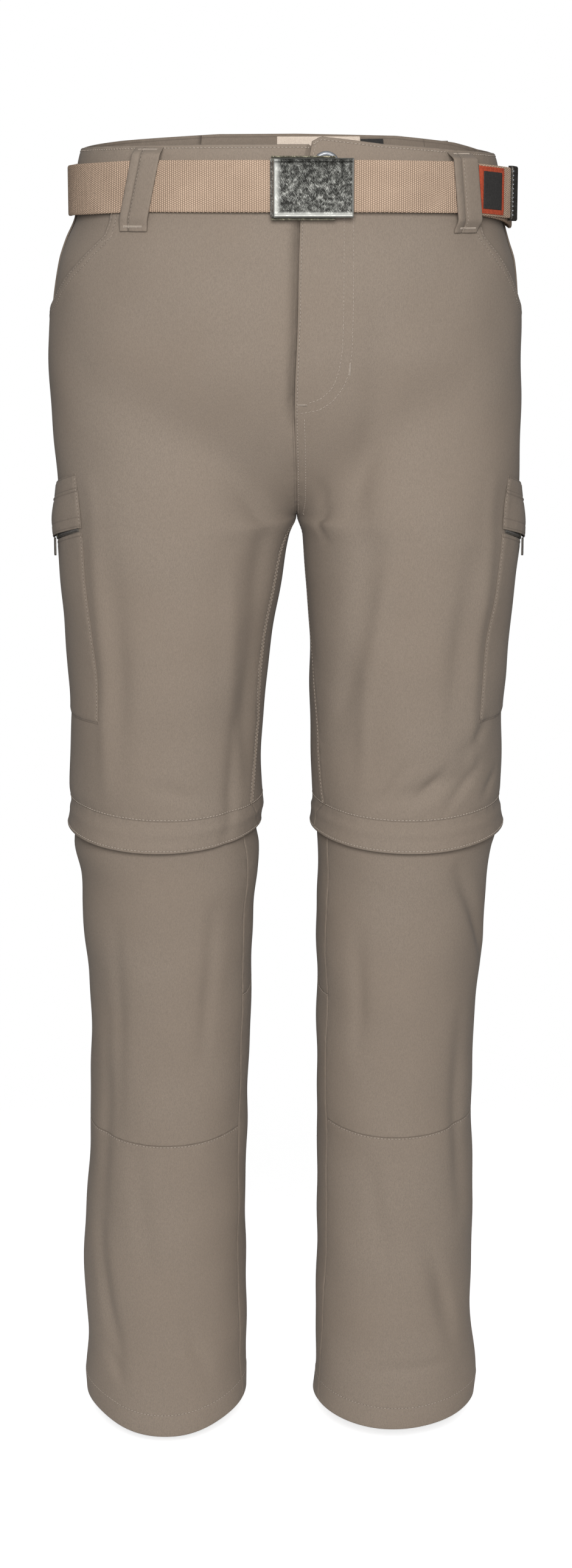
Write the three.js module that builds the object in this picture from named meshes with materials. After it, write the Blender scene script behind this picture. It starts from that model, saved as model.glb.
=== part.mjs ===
// Convertible zip-off trousers, filled out as worn, with their own webbing belt.
// Millimetres. X runs to the viewer's right, -Y faces the viewer, Z is up.
// The origin is the middle of the waist opening at belt height, where the wearer carries them.
// Side r is the wearer's right, on -X. Side l is the wearer's left, on +X.
// A "turn" is the angle round one leg: 0 inner side, 90 front, 180 outer side, 270 back.
// A "heading" is the angle round the waist: 0 centre front, +90 wearer's left, 180 centre back.

import * as THREE from 'three';
import { mergeVertices } from 'three/addons/utils/BufferGeometryUtils.js';

// Cloth and seams
const CLOTH = 1.6;
const BAND_CLOTH = 2.4;
const SEAM_GAP = 0.3;
const HIDDEN_GAP = 1.5;
const POCKET_GAP = 0.9;
const HEM_DEPTH = 20;
const HEM_CLOTH = 2.8;
const LEG_ROUNDNESS = 2.1;
const TORSO_ROUNDNESS = 2.25;
const CROTCH_Z = -272;
const RISE_TOP_Z = -130;
const RISE_SPREAD = 85;

// Belt and buckle
const WEBBING_WIDTH = 40;
const WEBBING = 2.5;
const LOOP_WIDTH = 22;
const PLATE = { left: -18.8, right: 43.8, low: -26.2, high: 19.5, back: -127.2, thick: 2.4, rim: 0.9, lip: 1.6, fall: 4 };
const CHANNEL = { left: -20.5, back: -122.2, length: 50, past: 1.6, depth: 6.2, rail: 1.1, floor: 1 };
const HINGE_BAR = { x: -20.2, y: -128, width: 2, length: 45, thick: 1.6, radius: 0.7 };
const BUTTON = { x: 22.3, z: 14.4, stand: 0.75, sides: 18 };
const TIP = { from: 0.967, to: 1.02, past: 1.6, wrap: 1.1 };
const PATCH = { from: 0.79, to: 0.885, half: 17.5, thick: 0.8 };
const PATCH_INSET = { from: 0.805, to: 0.868, half: 13, thick: 0.5 };
const LOOP = { stand: 0.8, topRise: 6, lowRise: 11, top: 1.5, below: 15 };

// Waistband, fly and the pieces inside the back
const BAND = { seamR: -84, seamL: 112, seamZ: 20, seamTurn: 0.06, lapLow: 2, lapHigh: 12, stepX: -3, underX: 0.5, underEnd: 44 };
const LINING_GAP = 0.8;
const INSIDE_TAPE = { left: 56, right: -17, low: 20, high: 39.5, thick: 0.7 };
const INSIDE_LABEL = { left: 76, low: 14, high: 37.5, thick: 0.8 };
const FLY_FACING = { from: 1, to: 21, high: -20, low: -182, curve: 60, curveTurn: 22, cloth: 1.3 };
const FLY_ZIP = { to: 15, high: -22, low: -165, gap: 1, thick: 1.2 };
const POCKET_FACING = { inset: 9, past: 4, low: -104, below: -107 };

// Knee and hem heights
const KNEE_SEAM_Z = -513;
const KNEE_SEAM_DIP = 6.5;
const FLAP_EDGE_Z = -538.5;
const FLAP_EDGE_DIP = 8;
const LOWER_TOP_Z = -534;
const KNEE_TAPE = { high: -511, low: -540, coilShare: 0.3 };
const KNEE_SLIDER = { turn: 178, drop: 2.5, out: 2.9, width: 8, height: 6, thick: 0.7 };
const ZIP_SPLIT_Z = -530;
const ZIP_GAP = 0.7;
const ZIP_TAPE = 0.9;
const ZIP_COIL = 1.6;
const SHIN_SEAM_Z = { r: -803, l: -795 };
const SHIN_SEAM_DIP = 7;
const HEM_Z = { r: -1063, l: -1066 };
const HEM_DIP = { r: 18, l: 8 };

// Thigh pocket
const POCKET_LOW_Z = -439;
const POCKET_TOP_Z = -280;
const POCKET_FLAP_TOP_Z = -232;
const POCKET_FLAP_EDGE_Z = -276.5;
const POCKET_SLOPE = 15.5;
const POCKET_FLAP_FLARE = 3.6;
const POCKET_SLOPE_TURN = 141;
const POCKET_BACK_SHIFT = 10;
const POCKET_TAPE = { inset: 3, low: 0.7, high: 12.7, flat: 1.0, coil: 1.6 };
const SLIDER = { turn: 166, z: -285.2, out: 3.35, width: 8, height: 5, thick: 1.1 };
const PULL = { z: -289.5, out: 4.95, width: 4.6, length: 15, thick: 1.4, above: 0.9 };

const SIDES = [{ tag: 'r', sign: -1 }, { tag: 'l', sign: 1 }];

function table(columns, rows) {
  return rows.map((row) => Object.fromEntries(columns.map((name, i) => [name, row[i]])));
}

// Half widths of the torso from the centre plane, and its reach to the front and the back
const TORSO = table(['z', 'outR', 'outL', 'front', 'back'], [
  [46, 174, 158, 114, 113],
  [28, 177, 161, 116, 116],
  [15, 180, 164.5, 118, 118],
  [-5, 182, 168, 119.5, 120],
  [-27, 184.5, 171.5, 120.5, 123],
  [-45, 193, 176.5, 121, 127],
  [-62, 199, 181.5, 121, 130],
  [-95, 203, 185, 121, 134],
  [-142, 207, 187, 118, 136],
  [-190, 207.5, 188, 112, 133],
  [-239, 204, 186.5, 105, 122],
  [-272, 200.5, 186.5, 99, 110],
]);

// Inner and outer side of each leg, measured out from the centre plane
const THIGH = table(['z', 'inR', 'outR', 'inL', 'outL', 'front', 'back'], [
  [-272, 0.2, 200.5, 0.2, 186.5, 99, 110],
  [-289, 6, 200, 5.5, 186.5, 99, 107],
  [-326, 13, 197.5, 8, 183.5, 98, 101],
  [-364, 19, 194.5, 10, 178.5, 96.5, 96.5],
  [-401, 24, 192.5, 11, 176.5, 94, 92],
  [-452, 29.5, 193.5, 12, 175.5, 90, 87.5],
  [-504, 29.5, 194.5, 13, 175.5, 86, 85],
  [-518, 29, 193.5, 13.5, 174.5, 85, 84.5],
  [-534, 30.5, 197, 12, 177.5, 86.5, 86.5],
  [-550, 32, 199.5, 10.5, 180, 88, 88],
]);

const LOWER_LEG = table(['z', 'inR', 'outR', 'inL', 'outL', 'front', 'back'], [
  [-522, 35.4, 188.6, 18.6, 169.2, 80.4, 80.4],
  [-545, 35, 191.6, 17.5, 172, 80.6, 80.6],
  [-558, 33, 192, 18, 169, 80, 80.5],
  [-581, 34, 186.5, 19, 165.5, 78.5, 79],
  [-608, 37, 186, 18, 164, 77, 78.5],
  [-640, 38, 184.5, 16.5, 162, 75.5, 78.5],
  [-674, 39, 181, 18.5, 159, 74, 78.5],
  [-727, 41, 180, 18, 156, 72, 78.5],
  [-781, 42.5, 181, 18, 154.5, 71, 78],
  [-863, 45, 185, 19, 157, 70, 76],
  [-946, 45, 190, 18, 156.5, 69, 73],
  [-1002, 45, 187, 18, 158, 68.5, 71.5],
  [-1045, 44.5, 189, 17, 162, 68, 70.5],
  [-1085, 45, 187, 15, 158, 68, 70],
]);

// Turn of each seam at each height
const SIDE_SEAM_TURN = 186;
const INSEAM_UPPER = table(['z', 'r', 'l'], [
  [-272, 0, 0],
  [-283, 14, 3],
  [-300, 20, 5],
  [-350, 23, 9],
  [-400, 24, 16],
  [-443, 18, 22],
  [-479, 22, 26],
  [-513, 28, 28],
]);
const INSEAM_FLAP = table(['z', 'r', 'l'], [
  [-513, 28, 28],
  [-524, 21, 17],
  [-548, 3, 15],
]);
const INSEAM_LOWER = table(['z', 'r', 'l'], [
  [-540, 28, 28],
  [-720, 26.5, 28],
  [-920, 24.6, 28.5],
  [-1027, 23, 21],
  [-1075, 17, 18],
]);
const SLANT = table(['z', 'r', 'l'], [
  [-10, 105, 112],
  [-40, 104, 114],
  [-61, 121, 130],
  [-79, 141, 147],
  [-93, 159, 160],
  [-107, 186, 186],
]);
const POCKET_FRONT = table(['z', 'r', 'l'], [
  [-230, 141, 148],
  [-290, 138, 142],
  [-340, 135.5, 139],
  [-440, 129, 134],
]);

// Rim and lower edge of the waistband, middle line of the belt and its stand-off, by heading
const WAIST_LINE = table(['heading', 'rim', 'belt', 'stand'], [
  [-180, 42, 11, 0.8],
  [-160, 41.5, 9, 0.8],
  [-125, 35.5, 0, 1.2],
  [-90, 28, -6, 1.6],
  [-60, 29, -4, 1.2],
  [-40, 29.5, -2, 0.8],
  [-12, 30, -2, 3.0],
  [-4, 30, -2, 3.4],
  [0, 30, -2, 3.4],
  [3, 36, -2, 0.7],
  [20, 30.5, -2, 0.7],
  [48, 26, -3, 0.8],
  [70, 24.5, -9, 2.4],
  [90, 24, -16, 3.4],
  [110, 28, -10, 2.6],
  [125, 34, -2, 1.4],
  [150, 40, 8, 0.8],
  [180, 42, 11, 0.8],
]);
const BAND_LOW_FRONT_Z = -16;
const BAND_LOW_BACK_Z = -3;
const BELT_SEAT_Z = -25;

// Troughs where the cloth folds in: from one turn and height to another
const FOLDS = table(['part', 'side', 'turnA', 'zA', 'turnB', 'zB', 'width', 'depth'], [
  ['thigh', 'l', 33, -105, 40, -200, 20, 3.0],
  ['thigh', 'l', 40, -200, 67, -285, 22, 3.5],
  ['thigh', 'l', 67, -285, 60, -365, 18, 3.5],
  ['thigh', 'l', 60, -365, 46, -440, 18, 3.0],
  ['thigh', 'r', 41, -262, 38, -360, 18, 3.5],
  ['thigh', 'r', 38, -360, 33, -485, 18, 3.5],
  ['thigh', 'l', 70, -505, 124, -482, 12, 3.0],
  ['thigh', 'r', 230, -150, 320, -250, 22, 4.0],
  ['thigh', 'l', 230, -150, 320, -250, 22, 4.0],
  ['thigh', 'r', 235, -300, 335, -330, 18, 3.5],
  ['thigh', 'l', 235, -300, 335, -330, 18, 3.5],
  ['thigh', 'r', 230, -470, 310, -485, 14, 3.0],
  ['thigh', 'l', 230, -470, 310, -485, 14, 3.0],
  ['lower', 'l', 124, -568, 170, -655, 11, 4.5],
  ['lower', 'l', 112, -905, 134, -1000, 14, 3.0],
  ['lower', 'r', 142, -893, 122, -1020, 14, 3.5],
  ['lower', 'r', 74, -985, 58, -1028, 12, 3.0],
  ['lower', 'r', 225, -590, 315, -610, 14, 3.5],
  ['lower', 'l', 225, -590, 315, -610, 14, 3.5],
  ['lower', 'r', 220, -960, 320, -930, 16, 3.0],
  ['lower', 'l', 220, -960, 320, -930, 16, 3.0],
]);
const FOLD_RADIUS = 86;

// Heights of the rows of the upper panels, from the knee seam to the waistband seam
const UPPER_LEVELS = [
  -513, -488, -460, -430, -400, -370, -340, -315, -294, -280, -272,
  -262, -246, -224, -195, -160, -125, -92, -68, -48, -31, -18,
];

const COLOUR = {
  cloth: '#8b8073',
  clothDark: '#7d7367',
  webbing: '#c2a588',
  pewter: '#8c8f86',
  gunmetal: '#4c4a43',
  steel: '#a3a7ab',
  patch: '#b5482f',
  inset: '#34322f',
  tape: '#cdbfa9',
  zip: '#6d6459',
};

const trousers = new THREE.Group();
trousers.name = 'convertible_trousers';

function smooth(t) {
  const s = Math.min(1, Math.max(0, t));
  return s * s * (3 - 2 * s);
}

function mix(a, b, t) {
  return a + (b - a) * t;
}

// Smooth curve through one column of a table, flat beyond its ends
function along(rows, key, value, axis = 'z') {
  const down = rows[0][axis] > rows[rows.length - 1][axis] ? -1 : 1;
  const n = rows.length;
  if ((value - rows[0][axis]) * down <= 0) {
    return rows[0][key];
  }
  if ((value - rows[n - 1][axis]) * down >= 0) {
    return rows[n - 1][key];
  }
  let i = 0;
  while ((value - rows[i + 1][axis]) * down > 0) {
    i += 1;
  }
  const slope = (j) => {
    if (j === 0 || j === n - 1) {
      return 0;
    }
    return (rows[j + 1][key] - rows[j - 1][key]) / (rows[j + 1][axis] - rows[j - 1][axis]);
  };
  const span = rows[i + 1][axis] - rows[i][axis];
  const s = (value - rows[i][axis]) / span;
  const start = (2 * s ** 3 - 3 * s ** 2 + 1) * rows[i][key] + (s ** 3 - 2 * s ** 2 + s) * slope(i) * span;
  const end = (3 * s ** 2 - 2 * s ** 3) * rows[i + 1][key] + (s ** 3 - s ** 2) * slope(i + 1) * span;
  return start + end;
}

// Straight line through one column of a table
function between(rows, key, value, axis = 'z') {
  const down = rows[0][axis] > rows[rows.length - 1][axis] ? -1 : 1;
  let i = 0;
  while (i < rows.length - 2 && (value - rows[i + 1][axis]) * down > 0) {
    i += 1;
  }
  const s = (value - rows[i][axis]) / (rows[i + 1][axis] - rows[i][axis]);
  return mix(rows[i][key], rows[i + 1][key], Math.min(1, Math.max(0, s)));
}

function roundPower(value, roundness) {
  return Math.sign(value) * Math.abs(value) ** (2 / roundness);
}

function column(name, side) {
  return name + side.tag.toUpperCase();
}

// Outside of one leg as a rounded ring
function legRing(rows, side, turn, z) {
  const inner = along(rows, column('in', side), z);
  const outer = along(rows, column('out', side), z);
  const angle = THREE.MathUtils.degToRad(turn);
  const reach = along(rows, Math.sin(angle) > 0 ? 'front' : 'back', z);
  const x = (inner + outer) / 2 - ((outer - inner) / 2) * roundPower(Math.cos(angle), LEG_ROUNDNESS);
  const y = -reach * roundPower(Math.sin(angle), LEG_ROUNDNESS);
  return [side.sign * x, y];
}

// Outside of one half of the torso, from centre front (turn 0) to centre back (turn 360)
function torsoRing(side, turn, z) {
  const angle = THREE.MathUtils.degToRad(turn / 2);
  const half = along(TORSO, column('out', side), z);
  const reach = along(TORSO, Math.cos(angle) > 0 ? 'front' : 'back', z);
  const x = half * roundPower(Math.sin(angle), TORSO_ROUNDNESS);
  const y = -reach * roundPower(Math.cos(angle), TORSO_ROUNDNESS);
  return [side.sign * x, y];
}

// The upper garment: legs up to the crotch, which open into the torso above it.
// The quarter circle at the inner edge draws the curve of the rise.
function upperRing(side, turn, z) {
  if (z <= CROTCH_Z) {
    return legRing(THIGH, side, turn, z);
  }
  const body = torsoRing(side, turn, z);
  if (z >= RISE_TOP_Z) {
    return body;
  }
  const height = (z - CROTCH_Z) / (RISE_TOP_Z - CROTCH_Z);
  const leg = legRing(THIGH, side, turn, CROTCH_Z);
  const quarter = Math.sqrt(1 - (1 - height) ** 2);
  const fromRise = Math.min(turn, 360 - turn) / RISE_SPREAD;
  const weight = mix(quarter, smooth(height), smooth(fromRise));
  return [mix(leg[0], body[0], weight), mix(leg[1], body[1], weight)];
}

function ring(part, side, turn, z) {
  const xy = part === 'lower' ? legRing(LOWER_LEG, side, turn, z) : upperRing(side, turn, z);
  return new THREE.Vector3(xy[0], xy[1], z);
}

// Depth of the folds at one place
function foldDepth(part, side, turn, z) {
  let depth = 0;
  for (const fold of FOLDS) {
    if (fold.part !== part || fold.side !== side.tag) {
      continue;
    }
    const scale = THREE.MathUtils.degToRad(1) * FOLD_RADIUS;
    const dx = (fold.turnB - fold.turnA) * scale;
    const dz = fold.zB - fold.zA;
    const px = (turn - fold.turnA) * scale;
    const pz = z - fold.zA;
    const t = Math.min(1, Math.max(0, (px * dx + pz * dz) / (dx * dx + dz * dz)));
    const away = Math.hypot(px - dx * t, pz - dz * t);
    const fade = 0.35 + 0.65 * Math.sin(Math.PI * t);
    depth += fold.depth * fade * Math.exp(-((away / fold.width) ** 2) * 2);
  }
  return depth;
}

// Direction straight out of the cloth at one place
function outward(part, side, turn, z) {
  const stepTurn = 4;
  const stepZ = 5;
  const open = part !== 'lower' && z > CROTCH_Z;
  const before = open ? Math.max(0, turn - stepTurn) : turn - stepTurn;
  const after = open ? Math.min(360, turn + stepTurn) : turn + stepTurn;
  const across = ring(part, side, after, z).sub(ring(part, side, before, z));
  const up = ring(part, side, turn, z + stepZ).sub(ring(part, side, turn, z - stepZ));
  return up.cross(across).multiplyScalar(-side.sign).normalize();
}

// A point of the cloth's outer face, moved out by a distance
function skin(part, side, turn, z, out = 0) {
  const normal = outward(part, side, turn, z);
  const point = ring(part, side, turn, z);
  point.addScaledVector(normal, out - foldDepth(part, side, turn, z));
  if (part !== 'lower' && z >= CROTCH_Z - 1) {
    const clear = Math.max(SEAM_GAP / 2, point.x * side.sign);
    const onCentre = (turn <= 0 || turn >= 360) && z > RISE_TOP_Z;
    point.x = side.sign * (onCentre ? SEAM_GAP / 2 : clear);
  }
  return point;
}

// A point round the waist, moved straight out sideways so that bands and belt stand upright
function waist(heading, z, out = 0) {
  const turned = ((heading + 540) % 360) - 180;
  const side = turned < 0 ? SIDES[0] : SIDES[1];
  const turn = Math.abs(turned) * 2;
  const point = ring('thigh', side, turn, z);
  const step = 1.5;
  const a = ring('thigh', side, Math.min(360, turn + step), z);
  const b = ring('thigh', side, Math.max(0, turn - step), z);
  const across = a.sub(b).multiplyScalar(side.sign);
  const normal = new THREE.Vector3(across.y, -across.x, 0).normalize();
  return point.addScaledVector(normal, out);
}

// Heading at which the waist has a given x, on the front or the back
function headingAtX(x, z, back = false) {
  const half = along(TORSO, x < 0 ? 'outR' : 'outL', z);
  const angle = Math.asin(Math.min(1, Math.abs(x) / half) ** (TORSO_ROUNDNESS / 2));
  const heading = THREE.MathUtils.radToDeg(angle);
  return Math.sign(x) * (back ? 180 - heading : heading);
}

function waistLine(key, heading) {
  const turned = ((heading + 540) % 360) - 180;
  return between(WAIST_LINE, key, turned, 'heading');
}

// Turns triangles the right way out
function facingOut(geometry) {
  const position = geometry.attributes.position;
  const index = geometry.index.array;
  const corner = [new THREE.Vector3(), new THREE.Vector3(), new THREE.Vector3()];
  let volume = 0;
  for (let i = 0; i < index.length; i += 3) {
    corner.forEach((point, k) => point.fromBufferAttribute(position, index[i + k]));
    volume += corner[0].dot(corner[1].clone().cross(corner[2]));
  }
  if (volume < 0) {
    for (let i = 0; i < index.length; i += 3) {
      const swap = index[i + 1];
      index[i + 1] = index[i + 2];
      index[i + 2] = swap;
    }
  }
  geometry.computeVertexNormals();
  return geometry;
}

// A closed wall between two faces. place(c, r, inner) gives a point for c and r from 0 to 1.
function wall(cols, rows, place, closed = false) {
  const points = [];
  const ringCols = closed ? cols : cols + 1;
  for (const inner of [false, true]) {
    for (let j = 0; j <= rows; j += 1) {
      for (let i = 0; i < ringCols; i += 1) {
        const point = place(i / cols, j / rows, inner);
        points.push(point.x, point.y, point.z);
      }
    }
  }
  const layer = ringCols * (rows + 1);
  const at = (i, j, inner) => (i % ringCols) + j * ringCols + (inner ? layer : 0);
  const index = [];
  const quad = (a, b, c, d) => index.push(a, b, c, a, c, d);
  for (let i = 0; i < cols; i += 1) {
    for (let j = 0; j < rows; j += 1) {
      quad(at(i, j, false), at(i + 1, j, false), at(i + 1, j + 1, false), at(i, j + 1, false));
      quad(at(i, j, true), at(i, j + 1, true), at(i + 1, j + 1, true), at(i + 1, j, true));
    }
    quad(at(i, 0, false), at(i, 0, true), at(i + 1, 0, true), at(i + 1, 0, false));
    quad(at(i, rows, false), at(i + 1, rows, false), at(i + 1, rows, true), at(i, rows, true));
  }
  if (!closed) {
    for (let j = 0; j < rows; j += 1) {
      quad(at(0, j, false), at(0, j + 1, false), at(0, j + 1, true), at(0, j, true));
      quad(at(cols, j, false), at(cols, j, true), at(cols, j + 1, true), at(cols, j + 1, false));
    }
  }
  const geometry = new THREE.BufferGeometry();
  geometry.setAttribute('position', new THREE.Float32BufferAttribute(points, 3));
  geometry.setIndex(index);
  return facingOut(geometry);
}

// A piece of cloth cut between a left and a right seam, a low and a high edge
function panel({ part, side, left, right, low, high, cols, rows, levels, out = () => 0, thick = () => CLOTH }) {
  const count = levels ? levels.length - 1 : rows;
  const edge = (line, c) => {
    const start = line(mix(left(line(180)), right(line(180)), c));
    return line(mix(left(start), right(start), c));
  };
  const place = (c, r, inner) => {
    const inside = levels && r > 0 && r < 1;
    const z = inside ? levels[Math.round(r * count)] : mix(edge(low, c), edge(high, c), r);
    const turn = mix(left(z), right(z), c);
    return skin(part, side, turn, z, out(c, r) - (inner ? thick(z) : 0));
  };
  return wall(cols, count, place);
}

function add(name, geometry, colour, roughness = 0.85, metalness = 0, parent = trousers) {
  const material = new THREE.MeshStandardMaterial({ color: colour, roughness, metalness });
  const mesh = new THREE.Mesh(geometry, material);
  mesh.name = name;
  parent.add(mesh);
  return mesh;
}

// Degrees of turn that make half a seam gap at a leg
const HALF_GAP = THREE.MathUtils.radToDeg(SEAM_GAP / 2 / 92);
const LOWER_HALF_GAP = HALF_GAP * 1.8;

const frontLow = (turn) => Math.max(0, Math.sin(THREE.MathUtils.degToRad(turn))) ** 2;
const kneeSeam = (turn) => KNEE_SEAM_Z - KNEE_SEAM_DIP * frontLow(turn);
const flapEdge = (turn) => FLAP_EDGE_Z - FLAP_EDGE_DIP * frontLow(turn);

function pocketSlope(turn) {
  const share = (turn - POCKET_SLOPE_TURN) / (180 - POCKET_SLOPE_TURN);
  return POCKET_SLOPE * Math.min(1, Math.max(0, share));
}

function shinSeam(side) {
  return (turn) => SHIN_SEAM_Z[side.tag] - SHIN_SEAM_DIP * frontLow(turn);
}

function hemEdge(side) {
  return (turn) => HEM_Z[side.tag] - HEM_DIP[side.tag] * frontLow(turn);
}

// Seam across the back of the lower leg, higher on the outer side
function calfSeam(turn) {
  return mix(-566, -684, smooth((turn - SIDE_SEAM_TURN) / 200));
}

function bandLow(heading) {
  const turned = Math.abs(((heading + 540) % 360) - 180);
  return mix(BAND_LOW_FRONT_Z, BAND_LOW_BACK_Z, smooth((turned - 80) / 100));
}

function bandSeam(turn) {
  return bandLow(turn / 2) - SEAM_GAP;
}

function upperPanels(side) {
  const slant = (z) => between(SLANT, side.tag, z);
  const inseam = (z) => (z >= CROTCH_Z ? 0 : between(INSEAM_UPPER, side.tag, z));
  const sideSeam = () => SIDE_SEAM_TURN;
  const inGap = (z) => (z >= CROTCH_Z ? 0 : HALF_GAP);
  const levels = UPPER_LEVELS;
  const front = panel({
    part: 'thigh',
    side,
    left: (z) => inseam(z) + inGap(z),
    right: (z) => Math.min(sideSeam(), z > POCKET_FACING.below ? slant(z) : 360) - HALF_GAP,
    low: (turn) => kneeSeam(turn) + SEAM_GAP / 2,
    high: bandSeam,
    cols: 12,
    levels,
  });
  add(`front_upper_${side.tag}`, front, COLOUR.cloth);
  const back = panel({
    part: 'thigh',
    side,
    left: () => SIDE_SEAM_TURN + HALF_GAP,
    right: (z) => 360 + inseam(z) - inGap(z),
    low: (turn) => kneeSeam(turn % 360) + SEAM_GAP / 2,
    high: bandSeam,
    cols: 14,
    levels,
  });
  add(`back_upper_${side.tag}`, back, COLOUR.cloth);
  const behind = -(CLOTH + HIDDEN_GAP);
  const facing = panel({
    part: 'thigh',
    side,
    left: (z) => slant(z) - POCKET_FACING.inset,
    right: () => SIDE_SEAM_TURN + POCKET_FACING.past,
    low: () => POCKET_FACING.low,
    high: bandSeam,
    cols: 6,
    rows: 5,
    out: () => behind,
  });
  add(`pocket_facing_${side.tag}`, facing, COLOUR.clothDark);
}

function kneeFlap(side) {
  const inseam = (z) => between(INSEAM_FLAP, side.tag, z);
  const low = (turn) => flapEdge(turn % 360);
  const high = (turn) => kneeSeam(turn % 360) - SEAM_GAP / 2;
  const front = panel({
    part: 'thigh',
    side,
    left: (z) => inseam(z) + HALF_GAP,
    right: () => SIDE_SEAM_TURN - HALF_GAP,
    low,
    high,
    cols: 12,
    rows: 2,
  });
  add(`knee_flap_front_${side.tag}`, front, COLOUR.cloth);
  const back = panel({
    part: 'thigh',
    side,
    left: () => SIDE_SEAM_TURN + HALF_GAP,
    right: (z) => 360 + inseam(z) - HALF_GAP,
    low,
    high,
    cols: 14,
    rows: 2,
  });
  add(`knee_flap_back_${side.tag}`, back, COLOUR.cloth);
}

// The zip that joins the lower leg: two tape rings whose coils meet, and a slider
function kneeZip(side) {
  const tape = (low, high, coilAtLow) => wall(36, 2, (c, r, inner) => {
    const coil = coilAtLow ? r === 0 : r === 1;
    const middle = mix(low, high, coilAtLow ? KNEE_TAPE.coilShare : 1 - KNEE_TAPE.coilShare);
    const z = r === 0.5 ? middle : mix(low, high, r);
    const outer = coil ? ZIP_COIL : ZIP_TAPE;
    return skin('lower', side, c * 360, z, ZIP_GAP + (inner ? 0 : outer));
  }, true);
  add(`knee_zip_upper_${side.tag}`, tape(ZIP_SPLIT_Z + SEAM_GAP / 2, KNEE_TAPE.high, true), COLOUR.zip);
  add(`knee_zip_lower_${side.tag}`, tape(KNEE_TAPE.low, ZIP_SPLIT_Z - SEAM_GAP / 2, false), COLOUR.zip);
  const body = new THREE.BoxGeometry(KNEE_SLIDER.width, KNEE_SLIDER.height, KNEE_SLIDER.thick);
  place(`knee_zip_slider_${side.tag}`, body, 'lower', side, KNEE_SLIDER.turn, ZIP_SPLIT_Z - KNEE_SLIDER.drop,
    KNEE_SLIDER.out, COLOUR.pewter, 0.4, 0.9);
}

function lowerPanels(side) {
  const inseam = (z) => between(INSEAM_LOWER, side.tag, z);
  const left = (z) => inseam(z) + LOWER_HALF_GAP;
  const right = () => SIDE_SEAM_TURN - LOWER_HALF_GAP;
  const backLeft = () => SIDE_SEAM_TURN + LOWER_HALF_GAP;
  const backRight = (z) => 360 + inseam(z) - LOWER_HALF_GAP;
  const hem = hemEdge(side);
  const hemThick = (z) => (z < HEM_Z[side.tag] + HEM_DEPTH ? HEM_CLOTH : CLOTH);
  const shin = shinSeam(side);
  const common = { part: 'lower', side };
  add(`front_knee_${side.tag}`, panel({
    ...common,
    left,
    right,
    low: (turn) => shin(turn) + SEAM_GAP / 2,
    high: () => LOWER_TOP_Z,
    cols: 12,
    rows: 9,
  }), COLOUR.cloth);
  add(`front_shin_${side.tag}`, panel({
    ...common,
    left,
    right,
    low: hem,
    high: (turn) => shin(turn) - SEAM_GAP / 2,
    cols: 12,
    rows: 9,
    thick: hemThick,
  }), COLOUR.cloth);
  add(`back_knee_${side.tag}`, panel({
    ...common,
    left: backLeft,
    right: backRight,
    low: (turn) => calfSeam(turn) + SEAM_GAP / 2,
    high: () => LOWER_TOP_Z,
    cols: 12,
    rows: 3,
  }), COLOUR.cloth);
  add(`back_calf_${side.tag}`, panel({
    ...common,
    left: backLeft,
    right: backRight,
    low: (turn) => hem(turn % 360),
    high: (turn) => calfSeam(turn) - SEAM_GAP / 2,
    cols: 12,
    rows: 12,
    thick: hemThick,
  }), COLOUR.cloth);
}

// Axes of a place on the cloth: along, up and out
function place(name, geometry, part, side, turn, z, out, colour, roughness, metalness, turned = 0) {
  const origin = skin(part, side, turn, z, out);
  const normal = outward(part, side, turn, z);
  normal.z = 0;
  normal.normalize();
  const up = new THREE.Vector3(0, 0, 1);
  const across = up.clone().cross(normal);
  const basis = new THREE.Matrix4().makeBasis(across, up, normal);
  geometry.rotateZ(turned);
  const mesh = add(name, geometry, colour, roughness, metalness);
  mesh.quaternion.setFromRotationMatrix(basis);
  mesh.position.copy(origin);
  return mesh;
}

function roundedPlate(width, length, thick, radius) {
  const shape = new THREE.Shape();
  const w = width / 2;
  const h = length / 2;
  shape.moveTo(-w + radius, -h);
  shape.lineTo(w - radius, -h);
  shape.absarc(w - radius, -h + radius, radius, -Math.PI / 2, 0);
  shape.lineTo(w, h - radius);
  shape.absarc(w - radius, h - radius, radius, 0, Math.PI / 2);
  shape.lineTo(-w + radius, h);
  shape.absarc(-w + radius, h - radius, radius, Math.PI / 2, Math.PI);
  shape.lineTo(-w, -h + radius);
  shape.absarc(-w + radius, -h + radius, radius, Math.PI, 1.5 * Math.PI);
  const geometry = new THREE.ExtrudeGeometry(shape, { depth: thick, bevelEnabled: false, curveSegments: 4 });
  geometry.translate(0, 0, -thick / 2);
  return geometry;
}

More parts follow.
